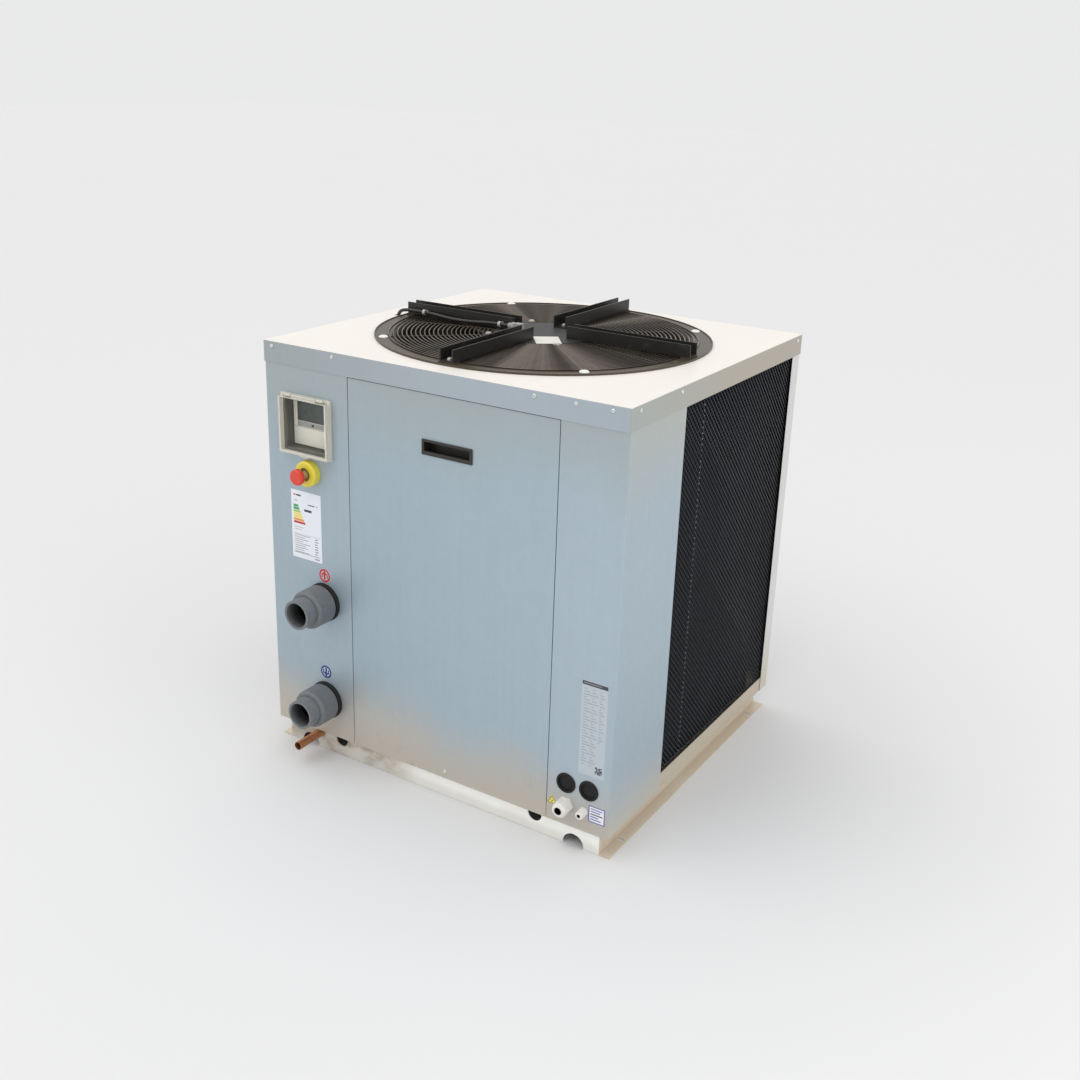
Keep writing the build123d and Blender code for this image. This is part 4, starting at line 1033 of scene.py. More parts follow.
    @staticmethod
    def finish(piece: Mesh, body: Body, finish: Finish | None, slot: str, *replaced: str) -> Mesh:
        """Dresses a piece and lets it ride.

        Args:
            piece: The new piece.
            body: The body it rides on.
            finish: Its finish, or None where the mesh already has its own.
            slot: Not used.
            replaced: CAD nodes that it stands for.

        Returns:
            The piece.
        """
        if finish is not None:
            piece.data.materials.clear()
            piece.data.materials.append(finish.material())
        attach(piece, body.value)
        if replaced:
            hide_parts(*replaced)
        LOG.info("%s: %d faces on %s", piece.name, len(piece.data.polygons), body.value)
        return piece


def shift(x: float = 0.0, y: float = 0.0, z: float = 0.0) -> Matrix:
    """Matrix of a move."""
    return Matrix.Translation((x, y, z))


def spun(angle: float, centre: Point) -> Matrix:
    """Matrix of a turn about the vertical through a point, in degrees."""
    return shift(*centre) @ Matrix.Rotation(math.radians(angle), 4, "Z") @ shift(*(-c for c in centre))


@dataclass
class Assembly:
    """A sub-assembly whose CAD nodes wear finishes of their own."""

    finishes: dict[str, Finish] = field(default_factory=dict)

    def build(self) -> None:
        """Dresses the nodes; a sub-assembly with finer pieces adds them."""
        for node, finish in self.finishes.items():
            dress(node, finish)


# ---------------------------------------------------------------- cabinet
@dataclass
class Cabinet(Assembly):
    """Sheet-metal housing: panels, cover, posts, base and its screws."""

    finishes: dict[str, Finish] = field(default_factory=lambda: {
        "left_front_panel": Kit.PANEL,
        "right_front_panel": Kit.PANEL,
        "access_panel": Kit.DOOR,
        "top_cover": Kit.COVER,
        "rear_posts": Kit.WRAP,
        "front_posts": Kit.INNER,
        "base_tray": Kit.TRAY,
        "cross_rails": Kit.RAIL,
        "side_rails": Kit.BASE,
        "handle_cup": Kit.CUP,
    })
    screw_z: float = 1.061
    front_y: float = -0.465
    side_x: float = 0.500
    back_y: float = 0.465
    front_screws: tuple[float, ...] = (-0.474, -0.287, 0.269, 0.371, 0.458)
    side_screws: tuple[float, ...] = (-0.425, -0.236, 0.436)
    back_screws: tuple[float, ...] = (-0.474, 0.474)
    head_r: float = 0.005
    head_h: float = 0.0026
    door_screw: tuple[float, float] = (0.043, 0.076)

    def screw_head(self, name: str, axis: Axis) -> Mesh:
        """One pan head with a hexagon socket, at the origin.

        Args:
            name: Piece name.
            axis: Direction that the head faces.

        Returns:
            The head.
        """
        r, h = self.head_r, self.head_h
        profile = ((0.0, r * 0.96), (h * 0.25, r), (h * 0.6, r * 0.93), (h * 0.85, r * 0.76), (h, r * 0.50))
        head = Bench.turned(name, (0, 0, 0), axis, profile, 18)
        out = Vector(axis.value)
        Bench.sink(head, lambda f: f.normal.dot(out) > 0.99 and f.area > 1e-6, r * 0.08, h * 0.45)
        return head

    def screws(self) -> None:
        """Pan-head screws round the skirt and at the foot of the access panel."""
        z = self.screw_z
        rows = (
            ("front_heads", Axis.FRONT, [shift(x, self.front_y, z) for x in self.front_screws]),
            ("right_heads", Axis.X, [shift(self.side_x, y, z) for y in self.side_screws]),
            ("left_heads", Axis.LEFT, [shift(-self.side_x, y, z) for y in self.side_screws]),
            ("back_heads", Axis.Y, [shift(x, self.back_y, z) for x in self.back_screws]),
        )
        sides = [Bench.copies(self.screw_head(name, axis), name, moves) for name, axis, moves in rows]
        heads = Bench.join("skirt_screw_heads", sides)
        Bench.finish(heads, Body.CABINET, Kit.SCREW, "zinc", "cabinet_screws")
        x, z = self.door_screw
        door = Bench.copies(self.screw_head("door_head", Axis.FRONT), "door_screw_head",
                            [shift(x, PANEL_Y, z)])
        Bench.finish(door, Body.DOOR, Kit.SCREW, "zinc", "access_screw")

    def build(self) -> None:
        """Dresses the sheets and adds the screws."""
        super().build()
        self.screws()


# ---------------------------------------------------------------- coil
@dataclass
class Coil(Assembly):
    """Finned coil round three sides and the mesh guards in front of it."""

    finishes: dict[str, Finish] = field(default_factory=lambda: {
        "coil_end_plates": Kit.TRAY,
        "coil_pipework": Kit.COPPER,
    })
    outer_x: float = 0.478
    outer_y: float = 0.443
    front_y: float = -0.196
    depth: float = 0.044
    bend_r: float = 0.100
    low_z: float = 0.086
    high_z: float = 1.040
    fin_pitch: float = 0.0042
    fin_t: float = 0.0004
    web_t: float = 0.002
    web_in: float = 0.62  # share of the depth at which the webs stand
    wire_r: float = 0.0010
    lean: float = 46.0
    wire_pitch: float = 0.0152
    guard_x: float = 0.4925
    guard_y: tuple[float, float] = (-0.2015, 0.4465)
    guard_z: tuple[float, float] = (0.091, 1.0445)
    rim: float = 0.005
    back_y: float = 0.4572
    back_x: float = 0.478
    tie_y: float = -0.095
    tie_pitch: float = 0.0135
    knot: tuple[tuple[float, float], ...] = ((-0.0022, 0.0005), (-0.001, 0.0013), (0.001, 0.0013),
                                             (0.0022, 0.0005))

    def fins(self) -> None:
        """Upright fin plates along the two legs, round the bends and along the back."""
        mid_z = (self.low_z + self.high_z) / 2
        tall = self.high_z - self.low_z - 0.002
        centre_x = self.outer_x - self.bend_r
        centre_y = self.outer_y - self.bend_r
        mid_r = self.bend_r - self.depth / 2

        def plate(name: str) -> Mesh:
            """One fin across the right leg."""
            x0, x1 = self.outer_x - self.depth, self.outer_x
            return Bench.block(name, (x0, -self.fin_t / 2, mid_z - tall / 2),
                               (x1, self.fin_t / 2, mid_z + tall / 2))

        leg = int((centre_y - self.front_y) / self.fin_pitch)
        places = [self.front_y + (i + 0.5) * self.fin_pitch for i in range(leg)]
        half_turn = Matrix.Rotation(math.pi, 4, "Z")
        right = Bench.copies(plate("fin"), "right_fins", [shift(y=y) for y in places])
        left = Bench.copies(plate("fin"), "left_fins", [half_turn @ shift(y=-y) for y in places])
        bends = int(math.pi / 2 * mid_r / self.fin_pitch)
        turns = []
        for side in (1, -1):
            for i in range(bends + 1):
                angle = 90.0 * i / bends
                swing = Matrix.Rotation(math.radians(angle if side > 0 else 180 - angle), 4, "Z")
                turns.append(shift(side * centre_x, centre_y) @ swing @ shift(-centre_x))
        bent = Bench.copies(plate("fin"), "bent_fins", turns)
        back = int(2 * centre_x / self.fin_pitch)
        quarter = Matrix.Rotation(math.pi / 2, 4, "Z")
        inward = self.outer_y - self.outer_x
        rows = [shift(-centre_x + (i + 0.5) * self.fin_pitch, inward) @ quarter for i in range(back)]
        behind = Bench.copies(plate("fin"), "back_fins", rows)
        stack = Bench.join("coil_fin_plates", [right, left, bent, behind, self.backing(centre_x, centre_y)])
        Bench.finish(stack, Body.CABINET, Kit.FINS, "coil", "coil_fins")

    def backing(self, centre_x: float, centre_y: float) -> Mesh:
        """Thin dark webs in the middle of the fin block, so that no light passes straight through it.

        Args:
            centre_x: X of the bend's centre.
            centre_y: Y of the bend's centre.

        Returns:
            The joined webs.
        """
        half, sunk = self.web_t / 2, self.depth * self.web_in
        mid_x, mid_y, bend = self.outer_x - sunk, self.outer_y - sunk, self.bend_r - sunk
        z0, z1 = self.low_z + 0.001, self.high_z - 0.002
        webs = [Bench.block("web", (s * mid_x - half, self.front_y, z0), (s * mid_x + half, centre_y, z1))
                for s in (1, -1)]
        webs.append(Bench.block("web", (-centre_x, mid_y - half, z0), (centre_x, mid_y + half, z1)))
        for side in (1, -1):
            arc = Bench.turned("web", (side * centre_x, centre_y, 0), Axis.Z, ((z0, bend), (z1, bend)), 48,
                               closed=False)
            x_normal = (-float(side), 0.0, 0.0)
            Bench.trim(arc, (((side * centre_x, 0, 0), x_normal), ((0, centre_y, 0), (0, -1.0, 0))),
                       fill=False)
            Bench.modify(arc, "SOLIDIFY", thickness=self.web_t, offset=0.0)
            webs.append(arc)
        return Bench.join("webs", webs)

    def lattice(self, name: str, width: float, height: float, lead: float) -> Mesh:
        """Upright mesh sheet in the YZ plane about the origin: two families of crossing wires in a thin rim.

        Args:
            name: Piece name.
            width: Along Y.
            height: Along Z.
            lead: X offset of the leading family from the other.

        Returns:
            The mesh sheet.
        """
        reach = height / math.sin(math.radians(self.lean)) + 0.05
        span = width + height / math.tan(math.radians(self.lean))
        count = int(span / self.wire_pitch) + 2
        families = []
        for side, radius in ((1, self.wire_r * 1.25), (-1, self.wire_r * 0.8)):
            wire = Bench.turned("wire", (0, 0, 0), Axis.Z, ((-reach / 2, radius), (reach / 2, radius)), 6)
            tilt = Matrix.Rotation(math.radians(side * (90 - self.lean)), 4, "X")
            moves = [shift(side * lead / 2, (i - count / 2) * self.wire_pitch) @ tilt
                     for i in range(count + 1)]
            families.append(Bench.copies(wire, "wires", moves))
        mesh = Bench.join(name, families)
        half_w, half_h = width / 2 - 0.001, height / 2 - 0.001
        Bench.trim(mesh, (((0, half_w, 0), (0, 1, 0)), ((0, -half_w, 0), (0, -1, 0)),
                          ((0, 0, half_h), (0, 0, 1)), ((0, 0, -half_h), (0, 0, -1))))
        t = 0.0011
        w, h, b = width / 2, height / 2, self.rim
        edges = [Bench.block("edge", (-t, -w, z - b / 2), (t, w, z + b / 2), 0.0004)
                 for z in (-h + b / 2, h - b / 2)]
        edges += [Bench.block("edge", (-t, y - b / 2, -h), (t, y + b / 2, h), 0.0004)
                  for y in (-w + b / 2, w - b / 2)]
        return Bench.join(name, [mesh, *edges])

    def guards(self) -> None:
        """Mesh guards of both sides and of the back, and the tie wire of each side."""
        y0, y1 = self.guard_y
        z0, z1 = self.guard_z
        middle = shift(0, (y0 + y1) / 2, (z0 + z1) / 2)
        sheet = self.lattice("side_mesh", y1 - y0, z1 - z0, 0.0014)
        turn = Matrix.Rotation(math.pi, 4, "Z")
        pair = Bench.copies(sheet, "side_mesh_guards",
                            [middle @ shift(self.guard_x - 0.0012),
                             middle @ shift(0.0012 - self.guard_x) @ turn])
        Bench.finish(pair, Body.CABINET, Kit.MESH, "coil", "coil_side_guards")
        back = self.lattice("back_mesh", 2 * self.back_x, z1 - z0, 0.0014)
        move = shift(0, self.back_y - 0.0004, (z0 + z1) / 2) @ Matrix.Rotation(math.pi / 2, 4, "Z")
        back = Bench.copies(back, "back_mesh_guard", [move])
        Bench.finish(back, Body.CABINET, Kit.MESH, "coil", "coil_back_guard")
        knots = int((z1 - z0 - 0.04) / self.tie_pitch)
        knot = Bench.turned("knot", (0, 0, 0), Axis.Z, self.knot, 6)
        at = self.guard_x - 0.0006
        line = [shift(s * at, self.tie_y, z0 + 0.02 + i * self.tie_pitch) for i in range(knots)
                for s in (1, -1)]
        ties = Bench.copies(knot, "mesh_ties", line)
        Bench.finish(ties, Body.CABINET, Kit.TIE, "coil")

    def build(self) -> None:
        """Dresses and builds the coil."""
        super().build()
        self.fins()
        self.guards()


# ---------------------------------------------------------------- fan
@dataclass
class Fan(Assembly):
    """Fan ring, wire guard, support arms, motor and its lead."""

    centre: Point = (-0.006, 0.010, 0.0)
    ring_top: float = 1.076
    wire_r: float = 0.002
    first_r: float = 0.130
    last_r: float = 0.385
    rings: int = 24
    spokes: int = 12
    tab_r: float = 0.140
    arm_bolts: tuple[float, float] = (0.100, 0.396)
    arm_seat: float = 1.083
    ring_bolt_r: float = 0.400
    bolt_r: float = 0.0068
    lead_d: float = 0.009
    lead_route: tuple[Point, ...] = (
        (-0.084, -0.030, 1.092),
        (-0.140, -0.030, 1.092),
        (-0.200, -0.037, 1.087),
        (-0.262, -0.038, 1.087),
        (-0.322, -0.031, 1.091),
        (-0.376, -0.029, 1.092),
        (-0.414, -0.031, 1.091),
        (-0.434, -0.030, 1.082),
        (-0.438, -0.030, 1.0655),
    )
    lead_length: float = 0.3685
    eye_r: float = 0.009
    hole_r: float = 0.0045
    cap: tuple[tuple[float, float], ...] = ((0.0, 0.0115), (0.0018, 0.0115), (0.0038, 0.0095),
                                            (0.0050, 0.0060))
    finishes: dict[str, Finish] = field(default_factory=lambda: {
        "fan_ring": Kit.RING,
        "fan_arms": Kit.ARM,
        "fan_impeller": Kit.BLADE,
        "motor_stator": Kit.MOTOR,
        "motor_rotor": Kit.MOTOR,
        "motor_gland": Kit.GLAND,
        "cable_clips": Kit.CLIP,
        "motor_label": Kit.PALE,
    })

    def corners(self, offset: Matrix = Matrix.Identity(4)) -> list[Matrix]:
        """Four moves round the fan, halfway between the arms.

        Args:
            offset: Move made before each turn.

        Returns:
            The matrices.
        """
        x, y, _ = self.centre
        return [spun(90 * i + 45, (x, y, 0)) @ offset for i in range(4)]

    def guard(self) -> None:
        """Concentric wires welded to radial ones, with eyes for the bolts."""
        x, y, _ = self.centre
        z = self.ring_top + self.wire_r
        step = (self.last_r - self.first_r) / (self.rings - 1)
        parts = []
        for i in range(self.rings):
            Bench.clear()
            bpy.ops.mesh.primitive_torus_add(major_radius=self.first_r + i * step,
                                             minor_radius=self.wire_r * 0.92,
                                             major_segments=112, minor_segments=8, location=(x, y, z))
            ring = Bench.taken("ring")
            bpy.ops.object.shade_smooth()
            parts.append(ring)
        length = self.last_r - self.first_r
        thin = self.wire_r * 0.75
        spoke = Bench.turned("spoke", (x + self.first_r, y, z - 0.0005), Axis.X,
                             ((0, thin), (length, thin)), 8)
        turns = [spun((i + 0.5) * 360 / self.spokes, (x, y, 0)) for i in range(self.spokes)]
        parts.append(Bench.copies(spoke, "spokes", turns))
        profile = ((0, self.hole_r), (0, self.eye_r), (0.0024, self.eye_r), (0.0024, self.hole_r))
        eye = Bench.turned("eye", (x + self.tab_r, y, self.ring_top + 0.0008), Axis.Z, profile, 20,
                           closed=False)
        parts.append(Bench.copies(eye, "eyes", self.corners()))
        Bench.finish(Bench.join("guard_wires", parts), Body.CABINET, Kit.WIRE, "fan_black", "fan_guard")

    def bolts(self) -> None:
        """Hexagon bolts with washers on the arms and the guard, capped bolts on the ring."""
        x, y, _ = self.centre
        r = self.bolt_r
        head = Bench.turned("bolt", (0, 0, 0), Axis.Z, ((0.0016, r), (0.0040, r), (0.0048, r * 0.86)), 6)
        washer = Bench.turned("washer", (0, 0, 0), Axis.Z, ((0.0, r * 1.25), (0.0016, r * 1.25)), 24)
        shank = Bench.turned("shank", (0, 0, 0), Axis.Z, ((-0.016, 0.0038), (0.0, 0.0038)), 12)
        bolt = Bench.join("bolt", [head, washer, shank])
        moves = [spun(90 * i, (x, y, 0)) @ shift(x + at, y, self.arm_seat)
                 for i in range(4) for at in self.arm_bolts]
        moves += self.corners(shift(x + self.tab_r, y, self.ring_top + 2 * self.wire_r))
        Bench.finish(Bench.copies(bolt, "fan_hex_bolts", moves), Body.CABINET, Kit.BOLT, "zinc", "fan_bolts")
        cap = Bench.turned("cap", (0, 0, 0), Axis.Z, self.cap, 24)
        caps = self.corners(shift(x + self.ring_bolt_r, y, self.ring_top))
        Bench.finish(Bench.copies(cap, "ring_bolt_caps", caps), Body.CABINET, Kit.CAP, "white_plastic")

    def lead(self) -> None:
        """Motor lead along the left arm, down through the deck."""
        curve = bpy.data.curves.new("motor_lead", "CURVE")
        curve.dimensions = "3D"
        curve.resolution_u = 10
        curve.bevel_depth = self.lead_d / 2
        curve.bevel_resolution = 3
        curve.use_fill_caps = True
        spline = curve.splines.new("NURBS")
        spline.points.add(len(self.lead_route) - 1)
        for point, (x, y, z) in zip(spline.points, self.lead_route):
            point.co = (x + self.centre[0], y + self.centre[1], z, 1.0)
        spline.order_u = 3
        spline.use_endpoint_u = True
        lead = bpy.data.objects.new("motor_lead", curve)
        bpy.context.collection.objects.link(lead)
        curve.materials.append(Kit.CABLE.material())
        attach(lead, Body.CABINET.value)
        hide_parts("motor_cable")
        x, y, z = self.lead_route[0]
        LOG.info("motor_lead: %d control points", len(self.lead_route))

    def build(self) -> None:
        """Dresses the fan's nodes and adds its wires, bolts and lead."""
        super().build()
        self.lead()
        self.guard()
        self.bolts()


# ---------------------------------------------------------------- prints
@dataclass
class Print:
    """Thin printed marks on a label, grouped as one piece."""

    name: str
    body: Body
    face_y: float
    marks: list[Mesh] = field(default_factory=list)
    thick: float = 0.00007

    def bar(self, x: float, z: float, w: float, h: float, ink: Finish, lift: int = 1) -> None:
        """Rectangle of ink.

        Args:
            x: Left edge.
            z: Lower edge.
            w: Width.
            h: Height.
            ink: Its finish.
            lift: Layer number, counted outwards.
        """
        top = self.face_y - self.thick * lift
        piece = Bench.block("mark", (x, top, z), (x + w, self.face_y + self.thick, z + h))
        self.ink(piece, ink)

    def disc(self, x: float, z: float, r: float, ink: Finish, lift: int = 1) -> None:
        """Disc of ink.

        Args:
            x: Middle.
            z: Middle height.
            r: Radius.
            ink: Its finish.
            lift: Layer number, counted outwards.
        """
        profile = ((-self.thick, r), (self.thick * lift, r))
        self.ink(Bench.turned("mark", (x, self.face_y, z), Axis.FRONT, profile, 40), ink)

    def triangle(self, x: float, z: float, r: float, ink: Finish, lift: int, way: int = 1) -> None:
        """Triangle of ink with a corner at the top or at the bottom.

        Args:
            x: Middle.
            z: Middle height.
            r: Radius of the corners.
            ink: Its finish.
            lift: Layer number, counted outwards.
            way: 1 for up, -1 for down.
        """
        profile = ((-self.thick, r), (self.thick * lift, r))
        piece = Bench.turned("mark", (0, 0, 0), Axis.FRONT, profile, 3)
        corner = piece.data.vertices[0].co
        spin = Matrix.Rotation(math.atan2(corner.z, corner.x) - way * math.pi / 2, 4, "Y")
        piece.data.transform(shift(x, self.face_y, z) @ spin)
        self.ink(piece, ink)

    def arrow(self, x: float, z: float, size: float, up: bool, ink: Finish, lift: int) -> None:
        """Arrow of ink that points up or down: a shaft and a triangular head.

        Args:
            x: Middle.
            z: Middle height.
            size: Overall size.
            up: Whether it points up.
            ink: Its finish.
            lift: Layer number, counted outwards.
        """
        way = 1 if up else -1
        low = z - size * 0.5 if up else z - size * 0.05
        self.bar(x - size * 0.11, low, size * 0.22, size * 0.55, ink, lift)
        self.triangle(x, z + way * size * 0.20, size * 0.34, ink, lift, way)

    def ink(self, piece: Mesh, ink: Finish) -> None:
        """Gives a mark its ink and keeps it.

        Args:
            piece: The mark.
            ink: Its finish.
        """
        piece.data.materials.clear()
        piece.data.materials.append(ink.material())
        self.marks.append(piece)

    def lines(self, x: float, z: float, widths: Sequence[float], pitch: float, h: float, ink: Finish) -> None:
        """Rows of small marks, as print too small to read.

        Args:
            x: Left edge.
            z: Lower edge of the first row.
            widths: Row lengths, from the top row down.
            pitch: Distance between rows.
            h: Height of a row.
            ink: Its finish.
        """
        for i, width in enumerate(widths):
            self.bar(x, z - i * pitch, width, h, ink)

    def done(self) -> Mesh:
        """Joins the marks into one riding piece.

        Returns:
            The piece.
        """
        piece = Bench.join(self.name, self.marks)
        return Bench.finish(piece, self.body, None, "label")


@dataclass
class Labels(Assembly):
    """Generic labels, stickers and notices on the front."""

    finishes: dict[str, Finish] = field(default_factory=lambda: {
        "energy_label": Kit.PAPER,
        "nameplate": Kit.FOIL,
        "flow_stickers": Kit.PAPER,
        "notice_labels": Kit.NOTICE,
    })
    face_y: float = PANEL_Y - 0.0004
    rating_low: tuple[float, float] = (-0.431, 0.532)
    steps: tuple[tuple[float, Finish], ...] = (
        (0.016, Kit.INK_GREEN), (0.019, Kit.INK_GREEN), (0.022, Kit.INK_LIME), (0.026, Kit.INK_YELLOW),
        (0.029, Kit.INK_YELLOW), (0.033, Kit.INK_ORANGE), (0.037, Kit.INK_RED))
    table: tuple[float, ...] = (0.050, 0.034, 0.044, 0.028, 0.050, 0.036, 0.042, 0.030, 0.046)
    column: tuple[float, ...] = (0.009, 0.011, 0.008, 0.010, 0.009, 0.011, 0.008)
    plate_low: tuple[float, float] = (0.415, 0.207)
    stickers: tuple[Point, ...] = ((-0.3285, 0.5025, 1.0), (-0.3325, 0.236, -1.0))
    sticker_r: float = 0.018
    warning: tuple[float, float] = (0.350, 0.109)
    square: tuple[float, float, float] = (0.447, 0.090, 0.043)

    def rating(self) -> None:
        """Stepped rating bars, a dark pointer and a table of plain rows."""
        page = Print("rating_print", Body.CABINET, self.face_y)
        x, z = self.rating_low
        page.bar(x + 0.008, z + 0.164, 0.007, 0.0035, Kit.INK_RED)
        page.bar(x + 0.017, z + 0.1635, 0.015, 0.0042, Kit.INK_DARK)
        page.bar(x + 0.010, z + 0.150, 0.011, 0.002, Kit.INK_GREY)
        page.bar(x + 0.054, z + 0.1445, 0.022, 0.0026, Kit.INK_DARK)
        page.bar(x + 0.080, z + 0.1455, 0.007, 0.0018, Kit.INK_GREY)
        for i, (width, ink) in enumerate(self.steps):
            page.bar(x + 0.007, z + 0.1345 - i * 0.0072, width, 0.0058, ink)
        page.bar(x + 0.042, z + 0.1265, 0.024, 0.0062, Kit.INK_DARK)
        page.lines(x + 0.008, z + 0.081, (0.030, 0.024), 0.006, 0.0014, Kit.INK_GREY)
        page.bar(x + 0.006, z + 0.0645, 0.084, 0.0008, Kit.INK_GREY)
        page.lines(x + 0.008, z + 0.060, self.table, 0.0056, 0.0019, Kit.INK_GREY)
        page.lines(x + 0.074, z + 0.058, self.column, 0.0065, 0.0019, Kit.INK_DARK)
        page.bar(x + 0.006, z + 0.013, 0.084, 0.0012, Kit.INK_DARK)
        page.bar(x + 0.072, z + 0.005, 0.016, 0.004, Kit.INK_GREY)
        page.done()

    def plate(self) -> None:
        """Header band, columns of faint rows and a small lattice block."""
        page = Print("plate_print", Body.CABINET, self.face_y)
        x, z = self.plate_low
        w, h = 0.067, 0.236
        page.bar(x + 0.001, z + h - 0.011, w - 0.002, 0.0095, Kit.INK_DARK)
        page.bar(x + 0.005, z + h - 0.0068, w - 0.022, 0.0016, Kit.INK_GREY, 2)
        rows = [0.008 + 0.0065 * ((i * 7) % 3) for i in range(28)]
        for column, scale in ((0.006, 1.0), (0.027, 0.75), (0.047, 0.6)):
            count = 28 if column < 0.04 else 19
            page.lines(x + column, z + h - 0.021, [scale * r for r in rows[:count]], 0.0070, 0.0024,
                       Kit.INK_FAINT)
        block_x, block_z, cell = x + 0.043, z + 0.010, 0.0026
        for i in range(7):
            for j in range(7):
                if (i * 5 + j * 3 + i * j) % 7 not in (2, 5):
                    page.bar(block_x + i * cell, block_z + j * cell, cell * 0.98, cell * 0.98, Kit.INK_BLOCK)
        page.done()

    def flow(self) -> None:
        """Ring with an arrow: up and red at the outlet, down and blue at the inlet."""
        page = Print("flow_print", Body.CABINET, self.face_y)
        for x, z, way in self.stickers:
            ink = Kit.INK_RED if way > 0 else Kit.INK_BLUE
            page.disc(x, z, self.sticker_r * 0.985, ink)
            page.disc(x, z, self.sticker_r * 0.70, Kit.INK_PALE, 2)
            page.arrow(x, z + 0.0012 * way, 0.0250, way > 0, ink, 3)
            page.bar(x - 0.0098, z - 0.0062, 0.0034, 0.0124, ink, 3)
            page.bar(x + 0.0064, z - 0.0062, 0.0034, 0.0124, ink, 3)
        page.done()

    def notices(self) -> None:
        """Plain triangle with a dark border and a square with a violet frame."""
        page = Print("notice_print", Body.CABINET, self.face_y)
        x, z = self.warning
        for lift, r, ink in ((1, 0.0138, Kit.INK_DARK), (2, 0.0112, Kit.INK_YELLOW),
                             (3, 0.0030, Kit.INK_DARK)):
            page.triangle(x, z, r, ink, lift)
        x, z, side = self.square
        page.bar(x, z, side, side, Kit.INK_PURPLE)
        page.bar(x + 0.0028, z + 0.0028, side - 0.0056, side - 0.0056, Kit.INK_WHITE, 2)
        for i, width in enumerate((0.030, 0.024, 0.031, 0.020, 0.027)):
            ink = Kit.INK_DARK if i == 2 else Kit.INK_PURPLE
            page.bar(x + 0.006, z + side - 0.0095 - i * 0.0066, width, 0.0028, ink, 3)
        page.done()

    def build(self) -> None:
        """Dresses the films and prints the marks."""
        super().build()
        self.rating()
        self.plate()
        self.flow()
        self.notices()


# ---------------------------------------------------------------- controls
@dataclass
class Controls(Assembly):
    """Controller behind its hinged window, and the emergency stop."""

    finishes: dict[str, Finish] = field(default_factory=lambda: {
        "window_frame": Kit.SURROUND,
        "window_cover": Kit.PANE,
        "window_hinge_pin": Kit.SCREW,
        "controller_box": Kit.RECESS,
        "controller_body": Kit.CASE,
        "controller_screen": Kit.SCREEN,
        "controller_key": Kit.KEY,
        "estop_collar": Kit.YELLOW,
        "estop_mushroom": Kit.RED,
        "estop_stem": Kit.STEM,
        "estop_block": Kit.STOP_BLOCK,
    })


# ---------------------------------------------------------------- pipes
@dataclass
class Plumbing(Assembly):
    """Unions, gaskets, drain and the refrigerant circuit inside."""

    finishes: dict[str, Finish] = field(default_factory=lambda: {
        "union_bodies": Kit.PVC,
        "union_tails": Kit.PVC,
        "outlet_union_nut": Kit.PVC_NUT,
        "inlet_union_nut": Kit.PVC_NUT,
        "pipe_gaskets": Kit.RUBBER,
        "drain_pipe": Kit.COPPER,
        "heat_exchanger": Kit.EXCHANGER,
        "compressor": Kit.VESSEL,
        "compressor_feet": Kit.RUBBER,
        "accumulator": Kit.VESSEL,
        "reversing_valve": Kit.BRASS,
        "refrigerant_pipes": Kit.COPPER,
    })


@dataclass
class Supply(Assembly):
    """Cable entries and the electrical box."""

    finishes: dict[str, Finish] = field(default_factory=lambda: {
        "blanking_grommets": Kit.RUBBER,
        "cable_glands": Kit.WHITE_GLAND,
        "gland_nuts": Kit.WHITE_GLAND,
        "electrical_box": Kit.ELECTRIC,
        "contactors": Kit.CONTACTOR,
    })


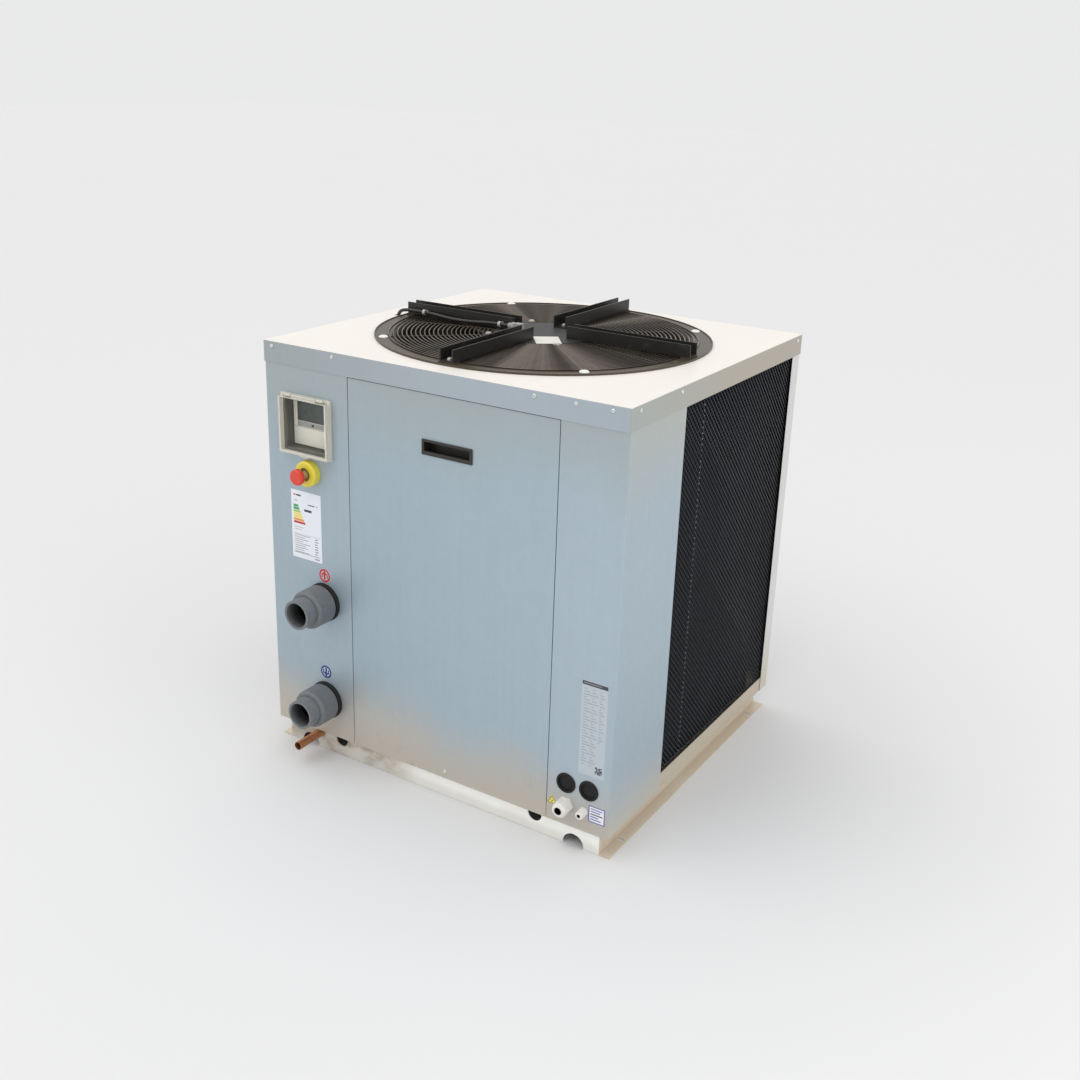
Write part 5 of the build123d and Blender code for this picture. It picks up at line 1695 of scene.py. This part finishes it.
# ---------------------------------------------------------------- studio
@dataclass
class Studio:
    """Pale floor, soft light and the camera."""

    eye: Point = (1.6276, -2.6401, 1.7318)
    yaw: float = -31.792
    pitch: float = 19.651
    roll: float = 1.818
    lens: float = 42.05
    shift_x: float = 0.0045
    shift_y: float = -0.0314
    floor_size: float = 60.0
    sky: Colour = (0.820, 0.822, 0.827)
    sky_strength: float = 1.0
    sun_strength: float = 1.15
    sun_spread: float = 80.0
    fill_power: float = 12.0
    side_power: float = 30.0

    def camera(self) -> None:
        """Camera from its place, heading, pitch and roll."""
        data = bpy.data.cameras.new("view")
        data.lens = self.lens
        data.sensor_width = 36.0
        data.shift_x = self.shift_x
        data.shift_y = self.shift_y
        data.clip_end = 200.0
        camera = bpy.data.objects.new("view", data)
        bpy.context.scene.collection.objects.link(camera)
        yaw, pitch, roll = (math.radians(a) for a in (self.yaw, self.pitch, self.roll))
        ahead = Vector((math.sin(yaw) * math.cos(pitch), math.cos(yaw) * math.cos(pitch), -math.sin(pitch)))
        right = ahead.cross(Vector((0, 0, 1))).normalized()
        up = right.cross(ahead)
        level_right = math.cos(roll) * right + math.sin(roll) * up
        level_up = math.cos(roll) * up - math.sin(roll) * right
        turn = Matrix((level_right, level_up, -ahead)).transposed().to_4x4()
        camera.matrix_world = Matrix.Translation(self.eye) @ turn
        bpy.context.scene.camera = camera

    def floor(self) -> None:
        """Wide matt floor."""
        Bench.clear()
        bpy.ops.mesh.primitive_plane_add(size=self.floor_size, location=(0, 0, -0.0005))
        floor = Bench.taken("studio_floor")
        floor.data.materials.append(FloorPaint("floor_pale").material())

    def lamp(self, name: str, place: Point, target: Point, size: float, power: float, tone: Colour) -> None:
        """Square soft lamp.

        Args:
            name: Lamp name.
            place: Where it hangs.
            target: Where it points.
            size: Edge length.
            power: Watts.
            tone: Colour.
        """
        data = bpy.data.lights.new(name, "AREA")
        data.size = size
        data.energy = power
        data.color = tone
        lamp = bpy.data.objects.new(name, data)
        lamp.location = place
        lamp.rotation_euler = (Vector(target) - Vector(place)).to_track_quat("-Z", "Y").to_euler()
        bpy.context.scene.collection.objects.link(lamp)

    def light(self) -> None:
        """Even sky, a broad warm lamp above, and cool lamps from the front left and the right."""
        world = bpy.data.worlds.new("studio_sky")
        world.use_nodes = True
        back = world.node_tree.nodes["Background"]
        back.inputs[0].default_value = (*self.sky, 1.0)
        back.inputs[1].default_value = self.sky_strength
        bpy.context.scene.world = world
        bpy.context.scene.view_settings.view_transform = "Standard"
        sun = bpy.data.lights.new("lamp_above", "SUN")
        sun.energy = self.sun_strength
        sun.angle = math.radians(self.sun_spread)
        sun.color = (1.0, 0.965, 0.91)
        above = bpy.data.objects.new("lamp_above", sun)
        above.rotation_euler = (math.radians(10.0), math.radians(-14.0), 0.0)
        bpy.context.scene.collection.objects.link(above)
        self.lamp("lamp_front", (-2.6, -3.4, 2.2), (0, 0, 0.6), 2.2, self.fill_power, (0.93, 0.97, 1.0))
        self.lamp("lamp_right", (4.2, -0.6, 2.0), (0.3, 0, 0.5), 2.4, self.side_power, (0.95, 0.975, 1.0))

    def build(self) -> None:
        """Sets up the studio."""
        self.camera()
        self.floor()
        self.light()


@dataclass(frozen=True)
class FloorPaint(Finish):
    """Matt pale floor paint."""

    tone: Colour = (0.700, 0.704, 0.714)

    def pattern(self, g: Graph) -> None:
        """Almost even, with a soft drift."""
        drift = g.noise((0.7, 0.7, 0.7), 2.0)
        tone = g.mix(drift * 0.10, self.tone, (0.675, 0.680, 0.690))
        g.surface(Base_Color=tone, Roughness=0.85 + drift * 0.05)


def main() -> None:
    """Builds the studio and every sub-assembly in order."""
    logging.basicConfig(level=logging.INFO, format="%(message)s")
    for part in (Studio(), Fan(), Cabinet(), Coil(), Controls(), Labels(), Plumbing(), Supply()):
        part.build()
        LOG.info("%s built", type(part).__name__)


if __name__ == "__main__":
    main()
